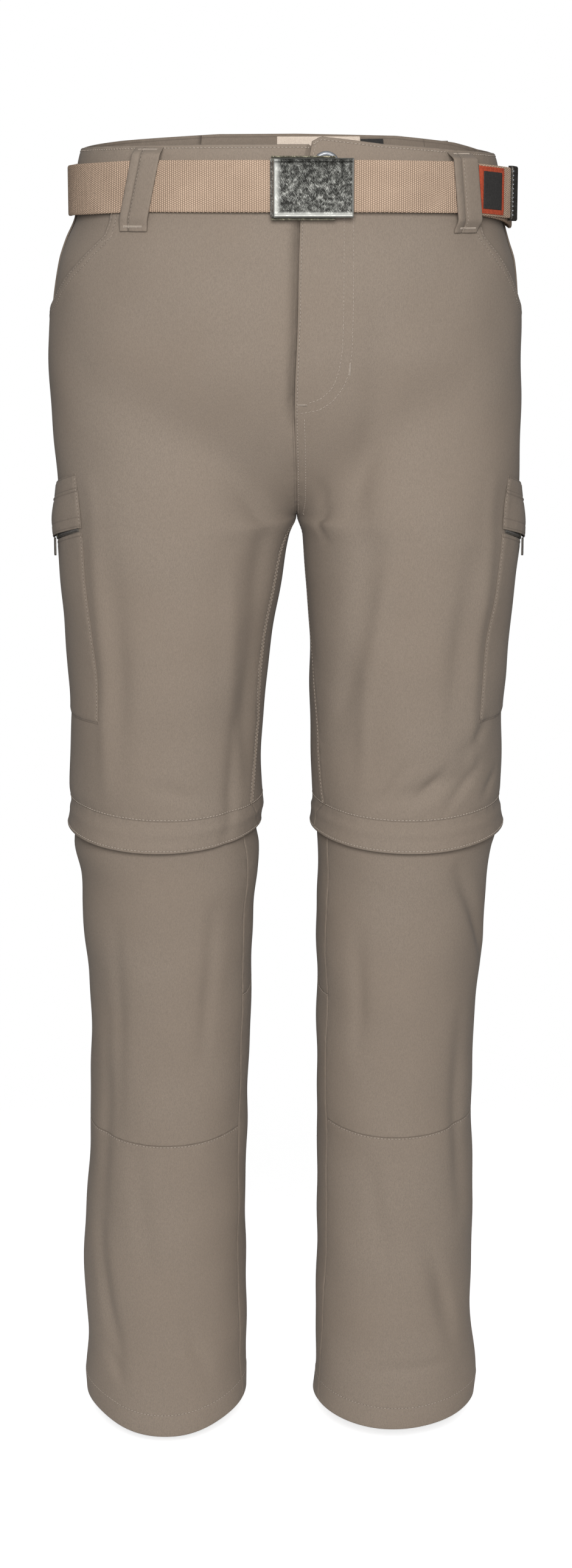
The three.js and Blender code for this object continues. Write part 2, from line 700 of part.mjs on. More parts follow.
function thighPocket(side) {
  const front = (z) => between(POCKET_FRONT, side.tag, z);
  const back = (z) => 2 * SIDE_SEAM_TURN - POCKET_BACK_SHIFT - front(z);
  const common = { part: 'thigh', side };
  add(`thigh_pocket_${side.tag}`, panel({
    ...common,
    left: front,
    right: back,
    low: () => POCKET_LOW_Z,
    high: (turn) => POCKET_TOP_Z - pocketSlope(turn),
    cols: 12,
    rows: 6,
    out: () => POCKET_GAP + CLOTH,
  }), COLOUR.cloth);
  add(`thigh_zip_tape_${side.tag}`, panel({
    ...common,
    left: (z) => front(z) + POCKET_TAPE.inset,
    right: (z) => back(z) - POCKET_TAPE.inset,
    low: (turn) => POCKET_TOP_Z - pocketSlope(turn) + POCKET_TAPE.low,
    high: (turn) => POCKET_TOP_Z - pocketSlope(turn) + POCKET_TAPE.high,
    cols: 12,
    rows: 3,
    out: (c, r) => POCKET_GAP + (r > 0.1 && r < 0.5 ? POCKET_TAPE.coil : POCKET_TAPE.flat),
    thick: () => POCKET_TAPE.flat,
  }), COLOUR.zip);
  add(`thigh_pocket_flap_${side.tag}`, panel({
    ...common,
    left: (z) => front(z),
    right: (z) => back(z),
    low: (turn) => POCKET_FLAP_EDGE_Z - pocketSlope(turn),
    high: (turn) => POCKET_FLAP_TOP_Z - pocketSlope(turn),
    cols: 12,
    rows: 4,
    out: (c, r) => POCKET_GAP + CLOTH + POCKET_FLAP_FLARE * smooth((1 - r) * 1.4),
  }), COLOUR.cloth);
  const slider = new THREE.BoxGeometry(SLIDER.width, SLIDER.height, SLIDER.thick);
  place(`thigh_zip_slider_${side.tag}`, slider, 'thigh', side, SLIDER.turn, SLIDER.z, SLIDER.out,
    COLOUR.pewter, 0.4, 0.9);
  const pull = roundedPlate(PULL.width, PULL.length, PULL.thick, 1.8);
  pull.translate(0, PULL.above - PULL.length / 2, 0);
  place(`thigh_zip_pull_${side.tag}`, pull, 'thigh', side, SLIDER.turn, PULL.z, PULL.out,
    COLOUR.clothDark, 0.6, 0.1);
}

// Fly: the facing behind the wearer's left front, and the zip behind it
function fly() {
  const side = SIDES[1];
  const bottom = (turn) => {
    const x = Math.min(1, turn / FLY_FACING.curveTurn);
    return FLY_FACING.low + FLY_FACING.curve * (1 - Math.sqrt(Math.max(0, 1 - x * x)));
  };
  const behind = CLOTH + HIDDEN_GAP + 0.5;
  add('fly_facing', panel({
    part: 'thigh',
    side,
    left: () => FLY_FACING.from,
    right: () => FLY_FACING.to,
    low: bottom,
    high: () => FLY_FACING.high,
    cols: 5,
    rows: 6,
    out: () => -behind,
    thick: () => FLY_FACING.cloth,
  }), COLOUR.clothDark);
  add('fly_zip', panel({
    part: 'thigh',
    side,
    left: () => FLY_FACING.from,
    right: () => FLY_ZIP.to,
    low: () => FLY_ZIP.low,
    high: () => FLY_ZIP.high,
    cols: 4,
    rows: 5,
    out: () => -behind - FLY_FACING.cloth - FLY_ZIP.gap,
    thick: () => FLY_ZIP.thick,
  }), COLOUR.zip);
}

// A strip of the waistband from one heading to another, between two heights
function band(from, to, low, high, cols, rows, out, thick) {
  return wall(cols, rows, (c, r, inner) => {
    const middle = mix(from(0), to(0), c);
    const z = mix(low(middle), high(middle), r);
    const heading = mix(from(z), to(z), c);
    return waist(heading, z, out - (inner ? thick : 0));
  });
}

// The wearer's right band: level to the centre front, then a step in to pass under the left band
function rightBand(from, high) {
  const cols = 25;
  const stepAt = 22;
  const stepLeft = headingAtX(BAND.stepX, 0);
  const stepRight = headingAtX(BAND.underX, 0);
  const end = headingAtX(BAND.underEnd, 0);
  return wall(cols, 2, (c, r, inner) => {
    const i = Math.round(c * cols);
    const under = i > stepAt;
    const level = mix(from, stepLeft, i / stepAt);
    const heading = under ? mix(stepRight, end, (i - stepAt - 1) / (cols - stepAt - 1)) : level;
    const top = under ? high(0) - 1 : high(heading);
    const out = under ? -(BAND_CLOTH + LINING_GAP) : 0;
    return waist(heading, mix(bandLow(heading), top, r), out - (inner ? BAND_CLOTH : 0));
  });
}

function waistband() {
  const high = (heading) => waistLine('rim', heading);
  const backR = headingAtX(BAND.seamR, BAND.seamZ, true);
  const backL = headingAtX(BAND.seamL, BAND.seamZ, true);
  const lapShare = (z) => (z - BAND_LOW_FRONT_Z) / 52;
  const lap = (z) => headingAtX(mix(BAND.lapLow, BAND.lapHigh, lapShare(z)), z);
  const frontEnd = () => backL - BAND.seamTurn;
  const backStart = () => backL + BAND.seamTurn;
  const backEnd = () => 360 + backR - BAND.seamTurn;
  add('waistband_front_r', rightBand(backR + BAND.seamTurn, high), COLOUR.cloth);
  add('waistband_front_l', band(lap, frontEnd, bandLow, high, 20, 2, 0, BAND_CLOTH), COLOUR.cloth);
  add('waistband_back', band(backStart, backEnd, bandLow, high, 10, 2, 0, BAND_CLOTH), COLOUR.cloth);
  const inside = -(BAND_CLOTH + LINING_GAP);
  const level = 30;
  const tapeLeft = headingAtX(INSIDE_TAPE.left, level, true);
  const tapeRight = 360 + headingAtX(INSIDE_TAPE.right, level, true);
  const labelLeft = headingAtX(INSIDE_LABEL.left, level, true);
  const meet = 0.1;
  const tape = band(() => tapeLeft + meet, () => tapeRight, () => INSIDE_TAPE.low, () => INSIDE_TAPE.high,
    6, 1, inside, INSIDE_TAPE.thick);
  add('inside_tape', tape, COLOUR.tape);
  const label = band(() => labelLeft, () => tapeLeft - meet, () => INSIDE_LABEL.low, () => INSIDE_LABEL.high,
    3, 1, inside, INSIDE_LABEL.thick);
  add('inside_label', label, COLOUR.inset);
}

// The belt stands upright on the widest part of the band that it crosses
function beltPoint(heading, z, out) {
  const point = waist(heading, BELT_SEAT_Z, out);
  point.z = z;
  return point;
}

// Stand-off of the outer layer, which runs through the buckle and over the base layer
function outerStand(heading) {
  return mix(3.4, WEBBING + 1.8, smooth((heading - 3) / 5));
}

const BUCKLE_LEFT_X = -20;
const BASE_END_X = 34;
const TAIL_END = 0.965;
const TAIL_LEAVE = 54;
const TAIL_FREE = 62;
const TAIL_CURL = 16;

// Middle line of the outer layer: round the front, then straight off the hip
function tailPath(t, out) {
  const start = headingAtX(BUCKLE_LEFT_X, BELT_SEAT_Z);
  const share = 0.74;
  const centre = (heading) => waistLine('belt', heading);
  if (t <= share) {
    const heading = mix(start, TAIL_LEAVE, t / share);
    return { point: beltPoint(heading, 0, outerStand(heading) + out), z: centre(heading) };
  }
  const s = (t - share) / (1 - share);
  const origin = beltPoint(TAIL_LEAVE, 0, outerStand(TAIL_LEAVE));
  const before = beltPoint(TAIL_LEAVE - 1, 0, outerStand(TAIL_LEAVE));
  const base = Math.atan2(origin.y - before.y, origin.x - before.x);
  const bend = THREE.MathUtils.degToRad(TAIL_CURL);
  const angle = base + bend * s * 0.5;
  const reach = TAIL_FREE * s;
  const normalAngle = base + bend * s - Math.PI / 2;
  const point = new THREE.Vector3(
    origin.x + Math.cos(angle) * reach + Math.cos(normalAngle) * out,
    origin.y + Math.sin(angle) * reach + Math.sin(normalAngle) * out,
    0,
  );
  return { point, z: mix(centre(TAIL_LEAVE), -8, s) };
}

function tailStrip(t0, t1, halfWidth, middle, out, thick, cols, rows) {
  return wall(cols, rows, (c, r, inner) => {
    const place = tailPath(mix(t0, t1, c), out + (inner ? 0 : thick));
    place.point.z = place.z + middle + mix(-halfWidth, halfWidth, r);
    return place.point;
  });
}

function belt() {
  const half = WEBBING_WIDTH / 2;
  const from = headingAtX(BASE_END_X, BELT_SEAT_Z);
  const to = 360 + headingAtX(BUCKLE_LEFT_X - 0.4, BELT_SEAT_Z);
  add('belt_base', wall(60, 1, (c, r, inner) => {
    const heading = mix(from, to, c);
    const z = waistLine('belt', heading) + mix(-half, half, r);
    return beltPoint(heading, z, waistLine('stand', heading) + (inner ? 0 : WEBBING));
  }), COLOUR.webbing, 0.9);
  add('belt_tail', tailStrip(0, TAIL_END, half, 0, 0, WEBBING, 22, 1), COLOUR.webbing, 0.9);
  const tip = tailStrip(TIP.from, TIP.to, half + TIP.past, 0, -TIP.wrap, WEBBING + 2 * TIP.wrap, 2, 1);
  add('belt_tip', tip, COLOUR.gunmetal, 0.45, 0.85);
  const onTail = WEBBING + SEAM_GAP;
  const patch = tailStrip(PATCH.from, PATCH.to, PATCH.half, 0, onTail, PATCH.thick, 4, 1);
  add('belt_patch', patch, COLOUR.patch);
  const onPatch = onTail + PATCH.thick + SEAM_GAP;
  const inset = tailStrip(PATCH_INSET.from, PATCH_INSET.to, PATCH_INSET.half, 0, onPatch, PATCH_INSET.thick, 3, 1);
  add('belt_patch_inset', inset, COLOUR.inset);
}

function beltLoop(name, xTop, xLow, back, clearance) {
  const heading = headingAtX((xTop + xLow) / 2, 0, back);
  const top = waistLine('rim', heading) - LOOP.top;
  const low = waistLine('belt', heading) - WEBBING_WIDTH / 2 - LOOP.below;
  const stand = waistLine('stand', heading) + clearance;
  const geometry = wall(3, 12, (c, r, inner) => {
    const z = mix(low, top, r);
    const x = mix(xLow, xTop, r) + mix(-LOOP_WIDTH / 2, LOOP_WIDTH / 2, c);
    const rise = smooth(Math.min((top - z) / LOOP.topRise, (z - low) / LOOP.lowRise));
    const thick = inner ? 0 : CLOTH;
    const seated = waist(headingAtX(x, z, back), z, LOOP.stand + thick);
    return seated.lerp(beltPoint(headingAtX(x, BELT_SEAT_Z, back), z, stand + thick), rise);
  });
  add(name, geometry, COLOUR.cloth);
}

function beltLoops() {
  const single = WEBBING + LOOP.stand;
  const double = 2 * WEBBING + LOOP.stand + 1.1;
  beltLoop('belt_loop_front_r', -118, -129, false, single);
  beltLoop('belt_loop_front_l', 129, 136, false, double);
  beltLoop('belt_loop_back', 34, 34, true, single);
  beltLoop('belt_loop_side_r', -112, -112, true, single);
  beltLoop('belt_loop_side_l', 118, 118, true, single);
}

function closedBody(geometry) {
  geometry.deleteAttribute('normal');
  geometry.deleteAttribute('uv');
  return facingOut(mergeVertices(geometry, 1e-3));
}

// Pressed plate with a raised rim, the channel behind it and the hinge bar at its left
function buckle() {
  const width = PLATE.right - PLATE.left;
  const height = PLATE.high - PLATE.low;
  const half = PLATE.thick / 2;
  const section = [
    [-height / 2, 0],
    [height / 2, 0],
    [height / 2, half],
    [height / 2 - PLATE.lip, PLATE.thick + PLATE.rim],
    [height / 2 - PLATE.fall, PLATE.thick],
    [-height / 2 + PLATE.fall, PLATE.thick],
    [-height / 2 + PLATE.lip, PLATE.thick + PLATE.rim],
    [-height / 2, half],
  ];
  const shape = new THREE.Shape(section.map(([up, out]) => new THREE.Vector2(up, out)));
  const plate = new THREE.ExtrudeGeometry(shape, { depth: width, bevelEnabled: false });
  const mesh = add('buckle_plate', closedBody(plate), COLOUR.pewter, 0.4, 0.9);
  const basis = new THREE.Matrix4().makeBasis(
    new THREE.Vector3(0, 0, 1), new THREE.Vector3(0, -1, 0), new THREE.Vector3(1, 0, 0));
  mesh.quaternion.setFromRotationMatrix(basis);
  mesh.position.set(PLATE.left, PLATE.back, (PLATE.low + PLATE.high) / 2);
  const low = PLATE.low - CHANNEL.past;
  const high = PLATE.high + CHANNEL.past;
  const channel = [
    [low, 0],
    [high, 0],
    [high, CHANNEL.depth],
    [high - CHANNEL.rail, CHANNEL.depth],
    [high - CHANNEL.rail, CHANNEL.floor],
    [low + CHANNEL.rail, CHANNEL.floor],
    [low + CHANNEL.rail, CHANNEL.depth],
    [low, CHANNEL.depth],
  ];
  const channelShape = new THREE.Shape(channel.map(([up, out]) => new THREE.Vector2(up, out)));
  const frame = new THREE.ExtrudeGeometry(channelShape, { depth: CHANNEL.length, bevelEnabled: false });
  const frameMesh = add('buckle_frame', closedBody(frame), COLOUR.pewter, 0.45, 0.9);
  frameMesh.quaternion.setFromRotationMatrix(basis);
  frameMesh.position.set(CHANNEL.left, CHANNEL.back, 0);
  const bar = roundedPlate(HINGE_BAR.width, HINGE_BAR.length, HINGE_BAR.thick, HINGE_BAR.radius);
  const barMesh = add('buckle_hinge_bar', closedBody(bar), COLOUR.gunmetal, 0.5, 0.9);
  barMesh.rotation.x = Math.PI / 2;
  barMesh.position.set(HINGE_BAR.x, HINGE_BAR.y, (PLATE.low + PLATE.high) / 2);
}

// Tack button on the waistband: a domed ring with a sunk middle
function tackButton() {
  const profile = [
    [0, 0], [9.2, 0], [10.5, 0.7], [10.2, 2.0], [8.6, 2.9], [6.6, 2.3], [5.6, 1.3], [0, 1.3],
  ];
  const points = profile.map(([radius, out]) => new THREE.Vector2(radius, out));
  const button = closedBody(new THREE.LatheGeometry(points, BUTTON.sides));
  const mesh = add('tack_button', button, COLOUR.steel, 0.35, 0.95);
  const heading = headingAtX(BUTTON.x, BUTTON.z);
  const seat = waist(heading, BUTTON.z, BUTTON.stand);
  const out = waist(heading, BUTTON.z, 5).sub(seat).normalize();
  mesh.quaternion.setFromUnitVectors(new THREE.Vector3(0, 1, 0), out);
  mesh.position.copy(seat);
}

for (const side of SIDES) {
  upperPanels(side);
  thighPocket(side);
  kneeFlap(side);
  kneeZip(side);
  lowerPanels(side);
}
fly();
waistband();
beltLoops();
belt();
buckle();
tackButton();

export default trousers;
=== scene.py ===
"""Convertible zip-off trousers with their webbing belt, dressed and lit for the studio.

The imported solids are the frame. Each cloth solid is replaced by a finer worn shell on the same
form, with its seams, sewing and zips. Lengths are millimetres until a mesh is made in metres.
A turn is the angle round one leg: 0 inner side, 90 front, 180 outer side, 270 back.
A heading is the angle round the waist: 0 centre front, +90 wearer's left, 180 centre back.
"""
from __future__ import annotations

import logging
import math
from dataclasses import dataclass, field
from enum import Enum
from typing import Callable, ClassVar
import bpy
import numpy as np
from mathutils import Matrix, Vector


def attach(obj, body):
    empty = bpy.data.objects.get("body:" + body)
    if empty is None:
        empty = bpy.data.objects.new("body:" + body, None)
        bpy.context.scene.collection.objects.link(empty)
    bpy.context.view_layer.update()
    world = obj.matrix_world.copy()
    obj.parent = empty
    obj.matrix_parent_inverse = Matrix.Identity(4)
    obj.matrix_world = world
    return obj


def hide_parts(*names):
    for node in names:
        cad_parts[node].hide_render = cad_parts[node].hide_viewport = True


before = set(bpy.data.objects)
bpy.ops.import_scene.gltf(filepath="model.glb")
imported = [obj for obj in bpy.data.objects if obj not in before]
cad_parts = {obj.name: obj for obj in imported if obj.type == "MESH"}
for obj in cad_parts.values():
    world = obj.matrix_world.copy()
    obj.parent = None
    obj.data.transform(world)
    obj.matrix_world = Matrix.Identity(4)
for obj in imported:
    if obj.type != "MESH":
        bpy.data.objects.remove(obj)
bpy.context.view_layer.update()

Array = np.ndarray
Place = Callable[[Array, Array, Array], Array]
Line = Callable[[Array], Array]
Colour = tuple[float, float, float]

LOG = logging.getLogger("trousers")
METRE = 0.001
BODY = "trousers"

CLOTH = 1.6
BAND_CLOTH = 2.4
SEAM_GAP = 0.3
CLOSE_GAP = 0.04
HIDDEN_GAP = 1.5
POCKET_GAP = 0.9
HEM_DEPTH = 20.0
HEM_CLOTH = 2.8
LEG_ROUNDNESS = 2.1
TORSO_ROUNDNESS = 2.25
CROTCH_Z = -272.0
RISE_TOP_Z = -130.0
RISE_SPREAD = 85.0
BELT_SEAT_Z = -25.0
WEBBING_WIDTH = 40.0
WEBBING = 2.5
SIDE_SEAM_TURN = 186.0
LEG_RADIUS = 92.0
LOWER_WIDENING = 1.8
HALF_GAP = math.degrees(CLOSE_GAP / 2 / LEG_RADIUS)
LOWER_HALF_GAP = HALF_GAP * LOWER_WIDENING
CENTRE_LAP = 0.2
FOLD_RADIUS = 86.0
KNEE_SEAM_Z = -513.0
FLAP_EDGE_Z = -538.5
LOWER_TOP_Z = -534.0
ZIP_SPLIT_Z = -530.0
HEM_Z = {"r": -1063.0, "l": -1066.0}
KNEE_DIP = 6.5
FLAP_DIP = 8.0
POCKET_DROP = 15.5
POCKET_DROP_START = 141.0
POCKET_DROP_SPAN = 39.0
CALF_OUTER_Z = -566.0
CALF_INNER_Z = -684.0
CALF_SPAN = 200.0
BAND_FRONT_Z = -16.0
BAND_BACK_Z = -3.0
BAND_LIFT_HEADING = 80.0
BAND_LIFT_SPAN = 100.0


class Side(Enum):
    """The wearer's right is on -X and the wearer's left on +X."""

    RIGHT = "r"
    LEFT = "l"

    @property
    def sign(self) -> int:
        """Sign of X on this side."""
        return -1 if self is Side.RIGHT else 1


class Part(Enum):
    """The two tubes of each leg, which the zip-off zip joins."""

    THIGH = "thigh"
    LOWER = "lower"


class Edge(Enum):
    """The four edges of a piece of cloth, seen with its outer face to the viewer."""

    LEFT = "left"
    RIGHT = "right"
    LOW = "low"
    HIGH = "high"


class Held(Enum):
    """How a sheet is held."""

    HUNG = "hung"
    LAID = "laid"
    STRETCHED = "stretched"


def smooth(value: Array | float) -> Array:
    """Smooth step from 0 to 1."""
    share = np.clip(value, 0.0, 1.0)
    return share * share * (3 - 2 * share)


def mix(start: Array | float, end: Array | float, share: Array | float) -> Array:
    """Straight blend from start to end."""
    return start + (end - start) * share


def hill(distance: Array, width: float) -> Array:
    """Bell curve of height 1 at no distance."""
    return np.exp(-((distance / width) ** 2))


def unit(vectors: Array) -> Array:
    """Vectors of length 1 along the given ones."""
    length = np.linalg.norm(vectors, axis=-1, keepdims=True)
    return vectors / np.maximum(length, 1e-9)


def round_power(value: Array, roundness: float) -> Array:
    """Signed power that squares off an ellipse by its roundness."""
    return np.sign(value) * np.abs(value) ** (2 / roundness)


class Profile:
    """A short table of sizes, read along its first column."""

    def __init__(self, columns: tuple[str, ...], rows: tuple[tuple[float, ...], ...]) -> None:
        """Sorts the rows along the first column.

        Args:
            columns: Names of the columns after the first.
            rows: Rows of the table, the place first.
        """
        data = np.array(sorted(rows), float)
        self.at = data[:, 0]
        self.values = {name: data[:, i + 1] for i, name in enumerate(columns)}

    def line(self, name: str, where: Array | float) -> Array:
        """One column read with straight lines between its rows."""
        return np.interp(where, self.at, self.values[name])

    def curve(self, name: str, where: Array | float) -> Array:
        """One column read as a smooth curve, flat beyond its ends.

        Args:
            name: The column.
            where: Places along the first column.

        Returns:
            The column's value at each place.
        """
        at = self.at
        value = self.values[name]
        slope = np.zeros(len(at))
        slope[1:-1] = (value[2:] - value[:-2]) / (at[2:] - at[:-2])
        i = np.clip(np.searchsorted(at, where, side="right") - 1, 0, len(at) - 2)
        span = at[i + 1] - at[i]
        s = np.clip((where - at[i]) / span, 0.0, 1.0)
        start = (2 * s**3 - 3 * s**2 + 1) * value[i] + (s**3 - 2 * s**2 + s) * slope[i] * span
        end = (3 * s**2 - 2 * s**3) * value[i + 1] + (s**3 - s**2) * slope[i + 1] * span
        return start + end


TORSO = Profile(
    ("out_r", "out_l", "front", "back"),
    (
        (46, 174, 158, 114, 113),
        (28, 177, 161, 116, 116),
        (15, 180, 164.5, 118, 118),
        (-5, 182, 168, 119.5, 120),
        (-27, 184.5, 171.5, 120.5, 123),
        (-45, 193, 176.5, 121, 127),
        (-62, 199, 181.5, 121, 130),
        (-95, 203, 185, 121, 134),
        (-142, 207, 187, 118, 136),
        (-190, 207.5, 188, 112, 133),
        (-239, 204, 186.5, 105, 122),
        (-272, 200.5, 186.5, 99, 110),
    ),
)
LEG_COLUMNS = ("in_r", "out_r", "in_l", "out_l", "front", "back")
THIGH = Profile(
    LEG_COLUMNS,
    (
        (-272, 0.2, 200.5, 0.2, 186.5, 99, 110),
        (-289, 6, 200, 5.5, 186.5, 99, 107),
        (-326, 13, 197.5, 8, 183.5, 98, 101),
        (-364, 19, 194.5, 10, 178.5, 96.5, 96.5),
        (-401, 24, 192.5, 11, 176.5, 94, 92),
        (-452, 29.5, 193.5, 12, 175.5, 90, 87.5),
        (-504, 29.5, 194.5, 13, 175.5, 86, 85),
        (-518, 29, 193.5, 13.5, 174.5, 85, 84.5),
        (-534, 30.5, 197, 12, 177.5, 86.5, 86.5),
        (-550, 32, 199.5, 10.5, 180, 88, 88),
    ),
)
LOWER_LEG = Profile(
    LEG_COLUMNS,
    (
        (-522, 35.4, 188.6, 18.6, 169.2, 80.4, 80.4),
        (-545, 35, 191.6, 17.5, 172, 80.6, 80.6),
        (-558, 33, 192, 18, 169, 80, 80.5),
        (-581, 34, 186.5, 19, 165.5, 78.5, 79),
        (-608, 37, 186, 18, 164, 77, 78.5),
        (-640, 38, 184.5, 16.5, 162, 75.5, 78.5),
        (-674, 39, 181, 18.5, 159, 74, 78.5),
        (-727, 41, 180, 18, 156, 72, 78.5),
        (-781, 42.5, 181, 18, 154.5, 71, 78),
        (-863, 45, 185, 19, 157, 70, 76),
        (-946, 45, 190, 18, 156.5, 69, 73),
        (-1002, 45, 187, 18, 158, 68.5, 71.5),
        (-1045, 44.5, 189, 17, 162, 68, 70.5),
        (-1085, 45, 187, 15, 158, 68, 70),
    ),
)
INSEAM_UPPER = Profile(
    ("r", "l"),
    (
        (-272, 0, 0),
        (-283, 14, 3),
        (-300, 20, 5),
        (-350, 23, 9),
        (-400, 24, 16),
        (-443, 18, 22),
        (-479, 22, 26),
        (-513, 28, 28),
    ),
)
INSEAM_FLAP = Profile(("r", "l"), ((-513, 28, 28), (-524, 21, 17), (-548, 3, 15)))
INSEAM_LOWER = Profile(
    ("r", "l"), ((-540, 28, 28), (-720, 26.5, 28), (-920, 24.6, 28.5), (-1027, 23, 21), (-1075, 17, 18))
)
SLANT = Profile(
    ("r", "l"),
    ((-10, 105, 112), (-40, 104, 114), (-61, 121, 130), (-79, 141, 147), (-93, 159, 160), (-107, 186, 186)),
)
POCKET_FRONT = Profile(("r", "l"), ((-230, 141, 148), (-290, 138, 142), (-340, 135.5, 139), (-440, 129, 134)))
WAIST_LINE = Profile(
    ("rim", "belt", "stand"),
    (
        (-180, 42, 11, 0.8),
        (-160, 41.5, 9, 0.8),
        (-125, 35.5, 0, 1.2),
        (-90, 28, -6, 1.6),
        (-60, 29, -4, 1.2),
        (-40, 29.5, -2, 0.8),
        (-12, 30, -2, 3.0),
        (-4, 30, -2, 3.4),
        (0, 30, -2, 3.4),
        (3, 36, -2, 0.7),
        (20, 30.5, -2, 0.7),
        (48, 26, -3, 0.8),
        (70, 24.5, -9, 2.4),
        (90, 24, -16, 3.4),
        (110, 28, -10, 2.6),
        (125, 34, -2, 1.4),
        (150, 40, 8, 0.8),
        (180, 42, 11, 0.8),
    ),
)
# The fly edge wanders to either side of the centre plane
FLY_SHIFT = Profile(("x",), ((-10, 2.6), (-60, 1.2), (-110, 0.2), (-172, -2.0), (-230, -0.6), (-262, 0.0)))

# X and Z of the corners of the fly's two curved rows and of its two bartacks
FLY_ROWS = (
    ((36.5, -20), (36.5, -105), (35.8, -128), (33, -146), (28, -159), (19, -167.5), (7, -171.5)),
    ((44, -20), (44, -105), (43.4, -128), (41.5, -146), (37, -158), (28, -170), (17, -177), (0, -179.4)),
)
FLY_BARTACKS = (((42, -139), (41.5, -149)), ((-0.2, -172.2), (8, -172.2)))


@dataclass(frozen=True)
class Fold:
    """A trough of the worn cloth, from one turn and height to another."""

    part: Part
    side: Side
    turn_a: float
    z_a: float
    turn_b: float
    z_b: float
    width: float
    depth: float

    def depth_at(self, turn: Array, z: Array) -> Array:
        """How far the cloth sinks at each place.

        Args:
            turn: Turns in degrees.
            z: Heights.

        Returns:
            Depths in millimetres.
        """
        scale = math.radians(1) * FOLD_RADIUS
        dx = (self.turn_b - self.turn_a) * scale
        dz = self.z_b - self.z_a
        px = (turn - self.turn_a) * scale
        pz = z - self.z_a
        t = np.clip((px * dx + pz * dz) / (dx * dx + dz * dz), 0.0, 1.0)
        away = np.hypot(px - dx * t, pz - dz * t)
        fade = 0.35 + 0.65 * np.sin(math.pi * t)
        return self.depth * fade * np.exp(-((away / self.width) ** 2) * 2)


# The solids' own folds first, then the finer ones
FOLDS = [
    Fold(Part(part), Side(side), *sizes)
    for part, sides, *sizes in (
        ("thigh", "l", 33, -105, 40, -200, 20, 3.0),
        ("thigh", "l", 40, -200, 67, -285, 22, 3.5),
        ("thigh", "l", 67, -285, 60, -365, 18, 3.5),
        ("thigh", "l", 60, -365, 46, -440, 18, 3.0),
        ("thigh", "r", 41, -262, 38, -360, 18, 3.5),
        ("thigh", "r", 38, -360, 33, -485, 18, 3.5),
        ("thigh", "l", 70, -505, 124, -482, 12, 3.0),
        ("thigh", "rl", 230, -150, 320, -250, 22, 4.0),
        ("thigh", "rl", 235, -300, 335, -330, 18, 3.5),
        ("thigh", "rl", 230, -470, 310, -485, 14, 3.0),
        ("lower", "l", 124, -568, 170, -655, 11, 4.5),
        ("lower", "l", 112, -905, 134, -1000, 14, 3.0),
        ("lower", "r", 142, -893, 122, -1020, 14, 3.5),
        ("lower", "r", 74, -985, 58, -1028, 12, 3.0),
        ("lower", "rl", 225, -590, 315, -610, 14, 3.5),
        ("lower", "rl", 220, -960, 320, -930, 16, 3.0),
        ("thigh", "l", 74, -502, 90, -470, 7, 2.2),
        ("thigh", "l", 90, -506, 105, -483, 6, 2.0),
        ("thigh", "l", 98, -500, 112, -474, 7, 2.0),
        ("thigh", "l", 112, -507, 134, -476, 7, 2.4),
        ("thigh", "l", 140, -503, 154, -485, 7, 2.0),
        ("thigh", "l", 124, -462, 144, -438, 9, 2.2),
        ("thigh", "l", 30, -262, 38, -285, 8, 2.0),
        ("thigh", "l", 12, -235, 26, -262, 9, 1.8),
        ("thigh", "r", 9, -136, 11, -190, 10, 1.8),
        ("thigh", "r", 11, -190, 23, -244, 11, 2.0),
        ("thigh", "r", 70, -500, 96, -490, 9, 1.6),
        ("thigh", "r", 44, -440, 50, -548, 11, 2.4),
        ("thigh", "r", 118, -300, 113, -480, 14, 2.4),
        ("thigh", "r", 131, -240, 124, -495, 10, -2.0),
        ("thigh", "l", 120, -300, 114, -440, 14, 2.4),
        ("thigh", "l", 134, -240, 128, -480, 10, -2.0),
        ("thigh", "l", 80, -290, 66, -400, 11, -1.8),
        ("thigh", "l", 66, -400, 62, -490, 11, -1.8),
        ("thigh", "r", 58, -300, 50, -430, 12, -1.6),
        ("lower", "l", 138, -700, 142, -880, 16, 3.0),
        ("lower", "r", 138, -700, 140, -900, 16, 2.6),
        ("lower", "l", 121, -925, 136, -980, 9, 2.2),
        ("lower", "l", 75, -1020, 130, -1015, 7, 1.6),
        ("lower", "l", 60, -620, 62, -730, 13, 2.4),
        ("lower", "r", 57, -602, 65, -728, 13, 2.4),
        ("lower", "r", 124, -618, 126, -796, 13, 2.0),
        ("lower", "r", 134, -1006, 119, -1034, 9, 2.2),
        ("lower", "r", 110, -820, 98, -930, 14, 2.0),
        ("lower", "l", 70, -830, 84, -930, 14, 2.0),
    )
    for side in sides
]
# Waves round the leg, phase per millimetre of height, start phase and height of low ripples
RIPPLES = ((3, 0.047, 0.4, 0.42), (5, -0.066, 1.9, 0.28), (2, 0.105, 3.1, 0.26), (8, 0.031, 5.0, 0.16))


